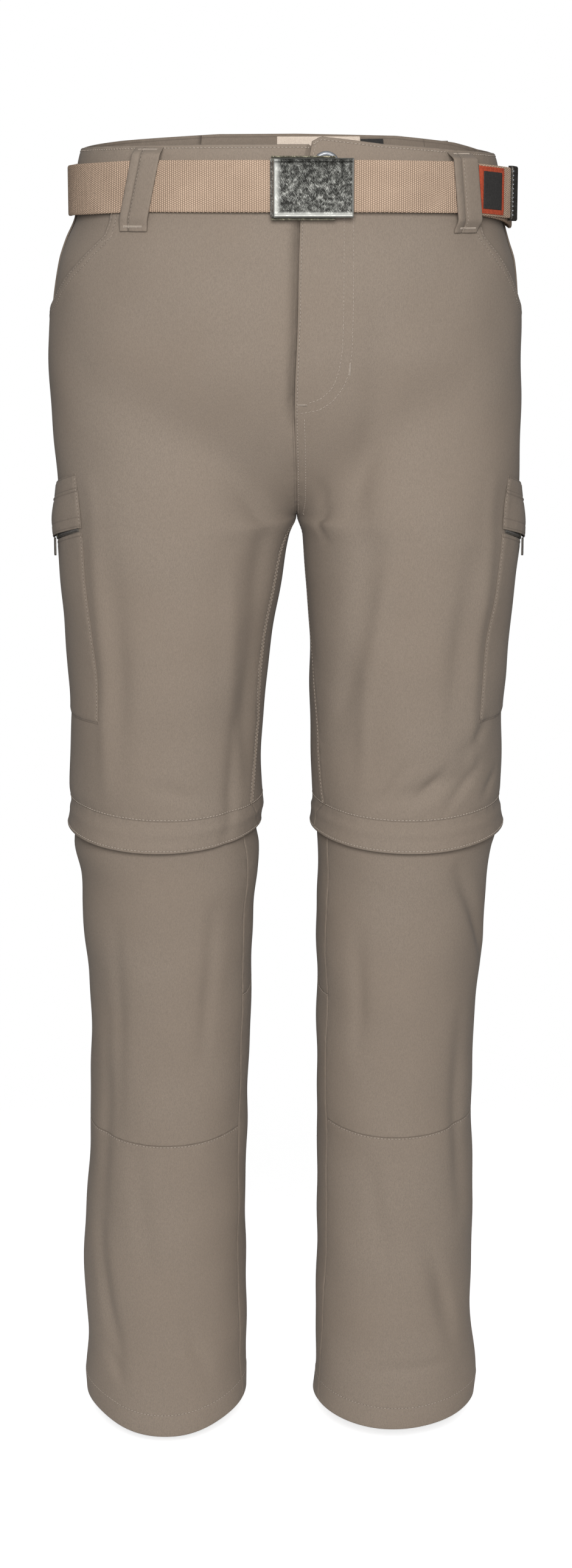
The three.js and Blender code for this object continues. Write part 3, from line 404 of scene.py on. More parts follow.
class WornForm:
    """The outside of the worn cloth, as the solids have it, with the finer folds on it."""

    def leg_ring(self, rows: Profile, side: Side, turn: Array, z: Array) -> tuple[Array, Array]:
        """Outside of one leg.

        Args:
            rows: The leg's table.
            side: The wearer's side.
            turn: Turns in degrees.
            z: Heights.

        Returns:
            X measured out from the centre plane, and Y.
        """
        inner = rows.curve(f"in_{side.value}", z)
        outer = rows.curve(f"out_{side.value}", z)
        angle = np.radians(turn)
        reach = np.where(np.sin(angle) > 0, rows.curve("front", z), rows.curve("back", z))
        x = (inner + outer) / 2 - (outer - inner) / 2 * round_power(np.cos(angle), LEG_ROUNDNESS)
        return x, -reach * round_power(np.sin(angle), LEG_ROUNDNESS)

    def torso_ring(self, side: Side, turn: Array, z: Array) -> tuple[Array, Array]:
        """Outside of one half of the torso, from centre front at turn 0 to centre back at 360.

        Args:
            side: The wearer's side.
            turn: Turns in degrees.
            z: Heights.

        Returns:
            X measured out from the centre plane, and Y.
        """
        angle = np.radians(turn / 2)
        half = TORSO.curve(f"out_{side.value}", z)
        reach = np.where(np.cos(angle) > 0, TORSO.curve("front", z), TORSO.curve("back", z))
        x = half * round_power(np.sin(angle), TORSO_ROUNDNESS)
        return x, -reach * round_power(np.cos(angle), TORSO_ROUNDNESS)

    def ring(self, part: Part, side: Side, turn: Array, z: Array) -> Array:
        """A point of the plain form, before folds.

        Args:
            part: Thigh or lower leg.
            side: The wearer's side.
            turn: Turns in degrees.
            z: Heights.

        Returns:
            Points, with X, Y and Z on the last axis.
        """
        turn, z = np.broadcast_arrays(np.asarray(turn, float), np.asarray(z, float))
        if part is Part.LOWER:
            x, y = self.leg_ring(LOWER_LEG, side, turn, z)
        else:
            leg = self.leg_ring(THIGH, side, turn, np.minimum(z, CROTCH_Z))
            body = self.torso_ring(side, turn, np.maximum(z, CROTCH_Z))
            height = np.clip((z - CROTCH_Z) / (RISE_TOP_Z - CROTCH_Z), 0.0, 1.0)
            quarter = np.sqrt(1 - (1 - height) ** 2)
            from_rise = np.minimum(turn, 360 - turn) / RISE_SPREAD
            weight = mix(quarter, smooth(height), smooth(from_rise))
            x = mix(leg[0], body[0], weight)
            y = mix(leg[1], body[1], weight)
        return np.stack([side.sign * x, y, z], axis=-1)

    def sink(self, part: Part, side: Side, turn: Array, z: Array) -> Array:
        """Depth of all folds and ripples at each place.

        Args:
            part: Thigh or lower leg.
            side: The wearer's side.
            turn: Turns in degrees.
            z: Heights.

        Returns:
            Depths in millimetres.
        """
        depth = np.zeros(np.broadcast(turn, z).shape)
        for fold in FOLDS:
            if fold.part is part and fold.side is side:
                depth = depth + fold.depth_at(turn, z)
        wave = np.zeros_like(depth)
        for count, rate, phase, height in RIPPLES:
            wave = wave + height * np.sin(count * np.radians(turn) + rate * z + phase * (1 + side.sign * 0.4))
        if part is Part.THIGH:
            from_rise = smooth(np.minimum(turn % 360, 360 - turn % 360) / 25)
            wave = wave * mix(1.0, from_rise, smooth((z - CROTCH_Z + 20) / 20))
            wave = wave * smooth((-18 - z) / 45)
        return depth + wave

    def outward(self, part: Part, side: Side, turn: Array, z: Array) -> Array:
        """Directions straight out of the cloth.

        Args:
            part: Thigh or lower leg.
            side: The wearer's side.
            turn: Turns in degrees.
            z: Heights.

        Returns:
            Unit vectors.
        """
        step_turn = 4.0
        step_z = 5.0
        before = turn - step_turn
        after = turn + step_turn
        if part is Part.THIGH:
            before = np.where(z > CROTCH_Z, np.maximum(0.0, before), before)
            after = np.where(z > CROTCH_Z, np.minimum(360.0, after), after)
        across = self.ring(part, side, after, z) - self.ring(part, side, before, z)
        up = self.ring(part, side, turn, z + step_z) - self.ring(part, side, turn, z - step_z)
        return unit(np.cross(up, across) * -side.sign)

    def skin(self, part: Part, side: Side, turn: Array, z: Array, out: Array | float = 0.0) -> Array:
        """Points of the cloth's outer face, moved out by a distance.

        Args:
            part: Thigh or lower leg.
            side: The wearer's side.
            turn: Turns in degrees.
            z: Heights.
            out: Distance out of the cloth.

        Returns:
            Points in millimetres.
        """
        turn, z, out = np.broadcast_arrays(np.asarray(turn, float), np.asarray(z, float), out)
        move = out - self.sink(part, side, turn, z)
        point = self.ring(part, side, turn, z) + self.outward(part, side, turn, z) * move[..., None]
        if part is Part.THIGH:
            inner = point[..., 0] * side.sign
            centred = ((turn <= 0) | (turn >= 360)) & (z > CROTCH_Z + 3)
            clear = np.where(centred, -CENTRE_LAP, np.maximum(-CENTRE_LAP, inner))
            kept = np.where(z >= CROTCH_Z - 1, clear, inner) * side.sign
            shift = FLY_SHIFT.curve("x", z) * hill(kept, 26) * (point[..., 1] < 0) * (z > -262)
            point[..., 0] = kept + shift
        return point

    def waist(self, heading: Array, z: Array, out: Array | float = 0.0) -> Array:
        """Points round the waist, moved straight out sideways.

        Args:
            heading: Headings in degrees.
            z: Heights.
            out: Distance out.

        Returns:
            Points in millimetres.
        """
        heading, z, out = np.broadcast_arrays(np.asarray(heading, float), np.asarray(z, float), out)
        turned = (heading + 540) % 360 - 180
        step = 1.5
        points = np.zeros(heading.shape + (3,))
        for side in Side:
            turn = np.abs(turned) * 2
            here = self.ring(Part.THIGH, side, turn, z)
            ahead = self.ring(Part.THIGH, side, np.minimum(360, turn + step), z)
            behind = self.ring(Part.THIGH, side, np.maximum(0, turn - step), z)
            across = (ahead - behind) * side.sign
            normal = unit(np.stack([across[..., 1], -across[..., 0], np.zeros_like(out)], axis=-1))
            chosen = turned < 0 if side is Side.RIGHT else turned >= 0
            points = np.where(chosen[..., None], here + normal * out[..., None], points)
        return points

    def belt_point(self, heading: Array, z: Array, out: Array | float) -> Array:
        """Points on the upright face of the belt, which stands on the widest part of the band."""
        point = self.waist(heading, BELT_SEAT_Z, out)
        point[..., 2] = z
        return point

    def heading_at(self, x: Array | float, z: Array | float, back: bool = False) -> Array:
        """Heading at which the waist has a given X.

        Args:
            x: Places along X.
            z: Heights.
            back: On the back instead of the front.

        Returns:
            Headings in degrees.
        """
        x = np.asarray(x, float)
        half = np.where(x < 0, TORSO.curve("out_r", z), TORSO.curve("out_l", z))
        angle = np.arcsin(np.minimum(1.0, np.abs(x) / half) ** (TORSO_ROUNDNESS / 2))
        heading = np.degrees(angle)
        return np.sign(x) * (180 - heading if back else heading)

    def waist_line(self, name: str, heading: Array | float) -> Array:
        """One line of the waist by heading: rim, belt or stand."""
        return WAIST_LINE.line(name, (np.asarray(heading, float) + 540) % 360 - 180)


FORM = WornForm()


def steady(value: float) -> Line:
    """A line that keeps one value."""
    return lambda place: np.full(np.shape(place), float(value))


def front_low(turn: Array) -> Array:
    """Share by which level seams hang lower at the front."""
    return np.maximum(0.0, np.sin(np.radians(turn))) ** 2


def knee_seam(turn: Array) -> Array:
    """Height of the seam at the top of the knee flap."""
    return KNEE_SEAM_Z - KNEE_DIP * front_low(turn)


def flap_edge(turn: Array) -> Array:
    """Height of the knee flap's lower edge."""
    return FLAP_EDGE_Z - FLAP_DIP * front_low(turn)


def pocket_slope(turn: Array) -> Array:
    """Drop of the thigh pocket's opening towards the outer side."""
    return POCKET_DROP * np.clip((turn - POCKET_DROP_START) / POCKET_DROP_SPAN, 0.0, 1.0)


def calf_seam(turn: Array) -> Array:
    """Height of the seam across the back of the lower leg, higher on the outer side."""
    return mix(CALF_OUTER_Z, CALF_INNER_Z, smooth((turn - SIDE_SEAM_TURN) / CALF_SPAN))


def band_low(heading: Array) -> Array:
    """Height of the waistband's lower edge."""
    turned = np.abs((np.asarray(heading, float) + 540) % 360 - 180)
    return mix(BAND_FRONT_Z, BAND_BACK_Z, smooth((turned - BAND_LIFT_HEADING) / BAND_LIFT_SPAN))


def band_seam(turn: Array) -> Array:
    """Top of the leg panels, just under the waistband."""
    return band_low(turn / 2) - SEAM_GAP


@dataclass(frozen=True)
class Seam:
    """How one edge of a piece is turned and sewn."""

    rows: tuple[float, ...] = ()
    roll: float = 0.5
    pad: float = 0.0
    dip: float = 0.28
    reach: float = 1.5

    def relief(self, distance: Array) -> Array:
        """Height of the cloth near the edge.

        Args:
            distance: Distances from the edge.

        Returns:
            Heights in millimetres, with the turned edge below 0 and the padded allowance above.
        """
        height = -self.roll * np.clip(1 - distance / self.reach, 0.0, 1.0) ** 2
        if self.pad and self.rows:
            height = height + self.pad * (1 - smooth((distance - max(self.rows) - 0.9) / 2.4))
        for row in self.rows:
            height = height - self.dip * hill(distance - row, 0.8)
        return height


PLAIN = Seam()


def spacing(length: float, first: Seam, last: Seam, pitch: float) -> Array:
    """Places of grid lines from 0 to 1, closer at turned edges and at sewing.

    Args:
        length: Length that the lines share out.
        first: Seam at the start.
        last: Seam at the end.
        pitch: Usual distance between lines.

    Returns:
        Places from 0 to 1.
    """
    near = [0.0, 0.45, 1.0, 1.8]
    beside = (-0.9, 0.0, 0.9)
    start = near + [row + step for row in first.rows for step in beside]
    end = [length - place for place in near + [row + step for row in last.rows for step in beside]]
    low = max(start) + pitch * 0.6
    high = min(end) - pitch * 0.6
    count = max(2, round((high - low) / pitch) + 1) if high > low + pitch else 0
    places = np.array(sorted(start + end + list(np.linspace(low, high, count)))) / length
    places = places[(places >= 0) & (places <= 1)]
    keep = [0.0]
    for place in places[1:]:
        if (place - keep[-1]) * length > 0.3:
            keep.append(place)
    keep[-1] = 1.0
    return np.array(keep)


@dataclass
class Shell:
    """A closed wall of cloth over a grid, with an outer and an inner face."""

    place: Place
    seams: dict[Edge, Seam] = field(default_factory=dict)
    out: Callable[[Array, Array], Array] | float = 0.0
    thick: Callable[[Array], Array] | float = CLOTH
    extra: Callable[[dict[Edge, Array], Array], Array] | None = None
    pitch: float = 3.5
    cols: Array | None = None
    closed: bool = False

    def __post_init__(self) -> None:
        """Lays out the grid and measures it."""
        few = np.linspace(0.0, 1.0, 9)
        coarse = self.place(*np.meshgrid(few, few), np.zeros((9, 9)))
        width = np.linalg.norm(np.diff(coarse, axis=1), axis=-1).sum(1).max()
        height = np.linalg.norm(np.diff(coarse, axis=0), axis=-1).sum(0).max()
        seam = {edge: self.seams.get(edge, PLAIN) for edge in Edge}
        if self.closed:
            self.cols = np.linspace(0.0, 1.0, round(width / self.pitch) + 1)
        elif self.cols is None:
            self.cols = spacing(width, seam[Edge.LEFT], seam[Edge.RIGHT], self.pitch)
        rows = spacing(height, seam[Edge.LOW], seam[Edge.HIGH], self.pitch)
        c, r = np.meshgrid(self.cols, rows)
        base = self.out(c, r) if callable(self.out) else np.full(c.shape, self.out)
        bare = self.place(c, r, base)
        self.distance = self._distances(bare)
        relief = np.zeros(c.shape)
        edges = (Edge.LOW, Edge.HIGH) if self.closed else tuple(Edge)
        for edge in edges:
            relief = relief + seam[edge].relief(self.distance[edge])
        moved = base + (self.extra(self.distance, bare) if self.extra else 0.0)
        thick = self.thick(bare[..., 2]) if callable(self.thick) else self.thick
        self.outer = self.place(c, r, moved + relief)
        self.inner = self.place(c, r, moved - thick)
        self.normal = self._normals()
        self.seam_mm = np.minimum.reduce([self.distance[edge] for edge in edges])
        gaps = [np.abs(self.distance[edge] - row) for edge in edges for row in seam[edge].rows]
        self.row_mm = np.minimum.reduce(gaps) if gaps else np.full(c.shape, 20.0)

    def _distances(self, grid: Array) -> dict[Edge, Array]:
        """Distance of each grid point from each edge.

        Args:
            grid: Points of the bare outer face.

        Returns:
            Distances in millimetres for each edge, square to the edge close to it.
        """
        along = np.linalg.norm(np.diff(grid, axis=1), axis=-1)
        along = np.concatenate([np.zeros((len(grid), 1)), np.cumsum(along, axis=1)], axis=1)
        up = np.linalg.norm(np.diff(grid, axis=0), axis=-1)
        up = np.concatenate([np.zeros((1, grid.shape[1])), np.cumsum(up, axis=0)], axis=0)
        self.slant = {
            Edge.LEFT: self._square(np.gradient(grid[:, 0], axis=0), grid[:, 2] - grid[:, 0]),
            Edge.RIGHT: self._square(np.gradient(grid[:, -1], axis=0), grid[:, -1] - grid[:, -3]),
            Edge.LOW: self._square(np.gradient(grid[0], axis=0), grid[2] - grid[0]),
            Edge.HIGH: self._square(np.gradient(grid[-1], axis=0), grid[-1] - grid[-3]),
        }
        self.along = along
        self.up = up
        return {
            Edge.LEFT: along * self.slant[Edge.LEFT][:, None],
            Edge.RIGHT: (along[:, -1:] - along) * self.slant[Edge.RIGHT][:, None],
            Edge.LOW: up * self.slant[Edge.LOW][None, :],
            Edge.HIGH: (up[-1:] - up) * self.slant[Edge.HIGH][None, :],
        }

    @staticmethod
    def _square(tangent: Array, away: Array) -> Array:
        """Sine of the angle between an edge and the grid line that leaves it."""
        return np.clip(np.linalg.norm(np.cross(unit(tangent), unit(away)), axis=-1), 0.35, 1.0)

    def _normals(self) -> Array:
        """Directions out of the outer face."""
        cross = unit(np.cross(np.gradient(self.outer, axis=1), np.gradient(self.outer, axis=0)))
        facing = np.sign(np.sum(cross * (self.outer - self.inner), axis=-1).mean())
        return cross * facing

    def line(self, edge: Edge, distance: float) -> tuple[Array, Array]:
        """The line that runs beside an edge.

        Args:
            edge: The edge.
            distance: Distance from it.

        Returns:
            Points and outward directions of the line.
        """
        upright = edge in (Edge.LEFT, Edge.RIGHT)
        lengths = self.along if upright else self.up.T
        outer = self.outer if upright else self.outer.transpose(1, 0, 2)
        normal = self.normal if upright else self.normal.transpose(1, 0, 2)
        points = []
        normals = []
        for lane, reach in enumerate(distance / self.slant[edge]):
            far = edge in (Edge.RIGHT, Edge.HIGH)
            want = lengths[lane, -1] - reach if far else reach
            points.append([np.interp(want, lengths[lane], outer[lane, :, k]) for k in range(3)])
            normals.append([np.interp(want, lengths[lane], normal[lane, :, k]) for k in range(3)])
        return np.array(points), unit(np.array(normals))

    def build(self, name: str) -> bpy.types.Object:
        """Makes the shell's mesh.

        Args:
            name: Name of the piece.

        Returns:
            The new object.
        """
        outer = self.outer[:, :-1] if self.closed else self.outer
        inner = self.inner[:, :-1] if self.closed else self.inner
        rows, cols = outer.shape[:2]
        index = np.arange(rows * cols).reshape(rows, cols)
        if self.closed:
            index = np.concatenate([index, index[:, :1]], axis=1)
        under = index + rows * cols
        quads = [
            (index[:-1, :-1], index[:-1, 1:], index[1:, 1:], index[1:, :-1]),
            (under[:-1, :-1], under[1:, :-1], under[1:, 1:], under[:-1, 1:]),
            (index[0, :-1], under[0, :-1], under[0, 1:], index[0, 1:]),
            (index[-1, :-1], index[-1, 1:], under[-1, 1:], under[-1, :-1]),
        ]
        if not self.closed:
            quads.append((index[:-1, 0], index[1:, 0], under[1:, 0], under[:-1, 0]))
            quads.append((index[:-1, -1], under[:-1, -1], under[1:, -1], index[1:, -1]))
        faces = np.concatenate([np.stack([q.ravel() for q in quad], axis=1) for quad in quads])
        points = np.concatenate([outer.reshape(-1, 3), inner.reshape(-1, 3)])
        trim = slice(None, -1) if self.closed else slice(None)
        values = {
            "seam_mm": self.seam_mm[:, trim],
            "row_mm": self.row_mm[:, trim],
            "along_mm": self.along[:, trim],
            "across_mm": self.up[:, trim],
        }
        doubled = {key: np.tile(value.ravel(), 2) for key, value in values.items()}
        return make_mesh(name, points, faces, doubled)


def make_mesh(
    name: str, points: Array, faces: Array, values: dict[str, Array] | None = None
) -> bpy.types.Object:
    """Makes a closed mesh with its faces turned outwards.

    Args:
        name: Name of the object.
        points: Vertices in millimetres.
        faces: Rows of vertex numbers, all of one length.
        values: Numbers for each vertex, by attribute name.

    Returns:
        The new object, linked to the scene.
    """
    corner = points[faces]
    middle = corner.mean(axis=1)
    across = np.cross(corner[:, 1] - corner[:, 0], corner[:, 2] - corner[:, 0])
    if np.sum(middle * across) < 0:
        faces = faces[:, ::-1]
    mesh = bpy.data.meshes.new(name)
    mesh.from_pydata((points * METRE).tolist(), [], faces.tolist())
    for key, value in (values or {}).items():
        mesh.attributes.new(key, "FLOAT", "POINT").data.foreach_set("value", value.astype(np.float32))
    mesh.shade_smooth()
    obj = bpy.data.objects.new(name, mesh)
    bpy.context.scene.collection.objects.link(obj)
    return obj


@dataclass(frozen=True)
class Thread:
    """Sizes of one kind of stitch or tooth."""

    length: float = 2.25
    pitch: float = 3.05
    half_width: float = 0.33
    half_height: float = 0.2
    lift: float = 0.12
    turned: bool = False


TOPSTITCH = Thread()
LIGHT_STITCH = Thread(length=1.9, half_width=0.22, half_height=0.14)
HEAVY_STITCH = Thread(length=2.35, half_width=0.42, half_height=0.3, lift=0.2)
BARTACK = Thread(length=2.2, pitch=0.55, half_width=0.26, half_height=0.24, lift=0.2, turned=True)
COIL = Thread(length=3.0, pitch=1.35, half_width=0.42, half_height=0.5, lift=0.25, turned=True)
KNEE_COIL = Thread(length=2.4, pitch=1.5, half_width=0.4, half_height=0.35, lift=0.0, turned=True)
PATCH_STITCH = Thread(length=1.7, pitch=2.2, half_width=0.26, half_height=0.18)


class Sewing:
    """Collects stitches along lines and makes them one mesh."""

    # Place along the stitch, share of its width, and rise, from end to end
    SHAPE = ((-0.5, 0.45, -1.3), (-0.32, 0.95, 0.0), (0.32, 0.95, 0.0), (0.5, 0.45, -1.3))

    def __init__(self) -> None:
        """Starts with no stitches."""
        self.points: list[Array] = []
        self.faces: list[Array] = []
        self.count = 0

    def run(self, line: tuple[Array, Array], kind: Thread = TOPSTITCH, trim: float = 1.0) -> None:
        """Adds stitches along a line.

        Args:
            line: Points and outward directions.
            kind: Sizes of the stitch.
            trim: Length left bare at both ends.
        """
        points, normals = line
        if len(points) < 2:
            return
        length = np.concatenate([[0.0], np.cumsum(np.linalg.norm(np.diff(points, axis=0), axis=1))])
        count = int((length[-1] - 2 * trim) / kind.pitch)
        if count < 1:
            return
        spare = (length[-1] - count * kind.pitch) / 2
        at = spare + kind.pitch * (np.arange(count) + 0.5)
        centre = np.stack([np.interp(at, length, points[:, k]) for k in range(3)], axis=1)
        ahead = np.stack([np.interp(at + 0.6, length, points[:, k]) for k in range(3)], axis=1)
        behind = np.stack([np.interp(at - 0.6, length, points[:, k]) for k in range(3)], axis=1)
        out = unit(np.stack([np.interp(at, length, normals[:, k]) for k in range(3)], axis=1))
        tangent = unit(ahead - behind)
        sideways = unit(np.cross(out, tangent))
        if kind.turned:
            tangent, sideways = sideways, tangent
        rings = []
        for place, width, rise in self.SHAPE:
            middle = centre + tangent * kind.length * place + out * (kind.lift + rise * kind.half_height)
            half = sideways * kind.half_width * width
            tall = out * kind.half_height * width
            rings.append(np.stack([middle + half, middle + tall, middle - half, middle - tall], axis=1))
        block = np.stack(rings, axis=1).reshape(count, 16, 3)
        quads = []
        for ring in range(3):
            for k in range(4):
                a = ring * 4 + k
                b = ring * 4 + (k + 1) % 4
                quads.append((a, b, b + 4, a + 4))
        quads.append((3, 2, 1, 0))
        quads.append((12, 13, 14, 15))
        offsets = self.count + 16 * np.arange(count)
        self.faces.append((np.array(quads)[None] + offsets[:, None, None]).reshape(-1, 4))
        self.points.append(block.reshape(-1, 3))
        self.count += 16 * count

    def build(self, name: str) -> bpy.types.Object:
        """Makes the stitches' mesh under a name."""
        return make_mesh(name, np.concatenate(self.points), np.concatenate(self.faces))


def between_heights(line: tuple[Array, Array], low: float, high: float) -> tuple[Array, Array]:
    """The part of a line between two heights."""
    keep = (line[0][:, 2] >= low) & (line[0][:, 2] <= high)
    return line[0][keep], line[1][keep]


class Bench:
    """Adds and joins nodes in one tree."""

    def __init__(self, tree: bpy.types.NodeTree) -> None:
        """Works on the given tree."""
        self.tree = tree

    def feed(self, socket: bpy.types.NodeSocket, value: object) -> None:
        """Links a socket to another, or sets its own value."""
        if isinstance(value, bpy.types.NodeSocket):
            self.tree.links.new(value, socket)
        else:
            socket.default_value = value

    def node(
        self, kind: str, inputs: dict[str | int, object] | None = None, **settings: object
    ) -> bpy.types.Node:
        """Adds a node.

        Args:
            kind: Blender's name of the node type.
            inputs: Values or sockets by input name or number.
            settings: Properties of the node.

        Returns:
            The node.
        """
        made = self.tree.nodes.new(kind)
        for key, value in settings.items():
            setattr(made, key, value)
        for key, value in (inputs or {}).items():
            self.feed(made.inputs[key], value)
        return made

    def math(self, operation: str, *values: object) -> bpy.types.NodeSocket:
        """Output of a math node with these inputs."""
        return self.node("ShaderNodeMath", dict(enumerate(values)), operation=operation).outputs[0]

    def blend(self, share: object, start: object, end: object) -> bpy.types.NodeSocket:
        """Output of a colour mix."""
        made = self.node("ShaderNodeMix", {0: share, 6: start, 7: end}, data_type="RGBA")
        return made.outputs[2]

    def noise(self, where: object, scale: object, detail: float = 2.0) -> bpy.types.NodeSocket:
        """Output of a noise texture at a scale per metre."""
        inputs = {"Vector": where, "Scale": scale, "Detail": detail}
        return self.node("ShaderNodeTexNoise", inputs).outputs["Fac"]

    def ramp(self, value: object, low: float, high: float) -> bpy.types.NodeSocket:
        """Smooth step of a value between two limits."""
        inputs = {"Value": value, "From Min": low, "From Max": high}
        return self.node("ShaderNodeMapRange", inputs, interpolation_type="SMOOTHSTEP").outputs[0]

    def attribute(self, name: str) -> bpy.types.NodeSocket:
        """A number that the mesh carries."""
        return self.node("ShaderNodeAttribute", attribute_name=name).outputs["Fac"]

    def place(self) -> bpy.types.NodeSocket:
        """Object coordinates, in metres."""
        return self.node("ShaderNodeTexCoord").outputs["Object"]

    def bump(self, height: object, distance: float, strength: float = 1.0) -> bpy.types.NodeSocket:
        """Normal of a bump node."""
        inputs = {"Height": height, "Distance": distance, "Strength": strength}
        return self.node("ShaderNodeBump", inputs).outputs[0]


class Effects:
    """The node groups that the finishes share, each built once."""

    def __init__(self) -> None:
        """Builds the groups."""
        self.heather = self._heather()
        self.sewn = self._sewn()
        self.beads = self._beads()
        self.scratches = self._scratches()

    @staticmethod
    def _tree(name: str, inputs: tuple[str, ...], outputs: tuple[str, ...]) -> tuple[Bench, dict, dict]:
        """Starts a group.

        Args:
            name: Name of the group.
            inputs: Names of its inputs.
            outputs: Names of its outputs.

        Returns:
            The bench, the sockets that bring values in, and the sockets that take them out.
        """
        tree = bpy.data.node_groups.new(name, "ShaderNodeTree")
        for label in inputs:
            tree.interface.new_socket(name=label, in_out="INPUT", socket_type="NodeSocketFloat")
        for label in outputs:
            tree.interface.new_socket(name=label, in_out="OUTPUT", socket_type="NodeSocketFloat")
        bench = Bench(tree)
        start = bench.node("NodeGroupInput")
        end = bench.node("NodeGroupOutput")
        taken = {label: start.outputs[label] for label in inputs}
        given = {label: end.inputs[label] for label in outputs}
        return bench, taken, given

    def _heather(self) -> bpy.types.NodeTree:
        """Mixed yarns: fine flecks, short streaks and slow tone changes."""
        bench, taken, given = self._tree(
            "mixed yarn", ("Fleck Scale", "Streak Scale", "Tone Scale"), ("Fleck", "Tone", "Height")
        )
        where = bench.place()
        fleck = bench.noise(where, taken["Fleck Scale"], 1.0)
        squeezed = bench.node("ShaderNodeMapping", {"Vector": where, "Scale": (1.0, 1.0, 0.3)}).outputs[0]
        streak = bench.noise(squeezed, taken["Streak Scale"], 1.0)
        both = bench.math("ADD", bench.math("MULTIPLY", fleck, 0.6), bench.math("MULTIPLY", streak, 0.4))
        bench.feed(given["Fleck"], bench.ramp(both, 0.33, 0.67))
        bench.feed(given["Tone"], bench.ramp(bench.noise(where, taken["Tone Scale"], 3.0), 0.3, 0.7))
        bench.feed(given["Height"], both)
        return bench.tree

    def _sewn(self) -> bpy.types.NodeTree:
        """Puckers beside sewing, and the masks of painted shade at the turned edge and of painted shadow along
        the needle line.
        """
        bench, taken, given = self._tree(
            "sewn edge", ("Pucker Scale", "Pucker Reach", "Crease Scale"), ("Height", "Edge", "Needle Line")
        )
        where = bench.place()
        seam = bench.attribute("seam_mm")
        row = bench.attribute("row_mm")
        reached = bench.math("DIVIDE", seam, taken["Pucker Reach"])
        fall = bench.math("POWER", 2.718, bench.math("MULTIPLY", reached, -1.0))
        pucker = bench.math("SUBTRACT", bench.noise(where, taken["Pucker Scale"], 1.0), 0.5)
        crease = bench.math("SUBTRACT", bench.noise(where, taken["Crease Scale"], 3.0), 0.5)
        height = bench.math("ADD", bench.math("MULTIPLY", pucker, fall), bench.math("MULTIPLY", crease, 0.35))
        bench.feed(given["Height"], height)
        # Edge and Needle Line are masks for painted shade beside seams and painted shadow along stitch rows
        bench.feed(given["Edge"], bench.ramp(seam, 1.0, 0.1))
        bench.feed(given["Needle Line"], bench.ramp(row, 0.8, 0.1))
        return bench.tree

    def _beads(self) -> bpy.types.NodeTree:
        """Woven webbing: columns of beads, each column set off by half a bead, with painted shade in the holes
        at the beads' corners.
        """
        bench, taken, given = self._tree("webbing beads", ("Bead Length", "Bead Width"), ("Height", "Shade"))
        along = bench.math("DIVIDE", bench.attribute("along_mm"), taken["Bead Length"])
        column = bench.math("MULTIPLY", bench.math("FLOOR", along), 0.5)
        across = bench.math("DIVIDE", bench.attribute("across_mm"), taken["Bead Width"])
        across = bench.math("ADD", across, column)
        ends = bench.math("ABSOLUTE", bench.math("SINE", bench.math("MULTIPLY", along, math.pi)))
        sides = bench.math("ABSOLUTE", bench.math("SINE", bench.math("MULTIPLY", across, math.pi)))
        height = bench.math("POWER", bench.math("MULTIPLY", ends, sides), 0.6)
        dot = bench.math("MULTIPLY", bench.math("SUBTRACT", 1.0, ends), bench.math("SUBTRACT", 1.0, sides))
        rough = bench.noise(bench.place(), 900.0, 2.0)
        bench.feed(given["Height"], bench.math("ADD", height, bench.math("MULTIPLY", rough, 0.25)))
        # Shade is 0 at the beads' corners, where the gap colour paints the shade in the holes of the weave
        bench.feed(given["Shade"], bench.ramp(dot, 0.5, 0.08))
        return bench.tree

    def _scratches(self) -> bpy.types.NodeTree:
        """Worn metal: mottled plating with fine marks in two directions."""
        bench, taken, given = self._tree("worn metal", ("Mottle Scale", "Mark Scale"), ("Worn", "Height"))
        where = bench.place()
        mottle = bench.noise(where, taken["Mottle Scale"], 5.0)
        drawn = []
        for lean in (-0.45, 0.7):
            turned = bench.node("ShaderNodeMapping", {"Vector": where, "Rotation": (0.0, lean, 0.0)}).outputs[0]
            pulled = bench.node("ShaderNodeMapping", {"Vector": turned, "Scale": (1.0, 1.0, 0.2)}).outputs[0]
            drawn.append(bench.noise(pulled, taken["Mark Scale"], 3.0))
        marks = bench.math("MAXIMUM", *drawn)
        both = bench.math("ADD", bench.math("MULTIPLY", mottle, 0.35), bench.math("MULTIPLY", marks, 0.65))
        bench.feed(given["Worn"], bench.ramp(both, 0.46, 0.74))
        bench.feed(given["Height"], both)
        return bench.tree


@dataclass(frozen=True)
class Finish:
    """Base of all finishes: a principled shader with its constants."""

    name: str
    roughness: float = 0.9

    def start(self) -> tuple[bpy.types.Material, Bench, bpy.types.Node]:
        """Makes an empty material.

        Returns:
            The material, its bench and its shader.
        """
        material = bpy.data.materials.new(self.name)
        material.use_nodes = True
        bench = Bench(material.node_tree)
        shader = material.node_tree.nodes["Principled BSDF"]
        shader.inputs["Roughness"].default_value = self.roughness
        return material, bench, shader

    @staticmethod
    def group(bench: Bench, tree: bpy.types.NodeTree, **values: float) -> bpy.types.Node:
        """Places a shared effect, with its inputs written with underscores."""
        made = bench.node("ShaderNodeGroup", node_tree=tree)
        for key, value in values.items():
            made.inputs[key.replace("_", " ")].default_value = value
        return made


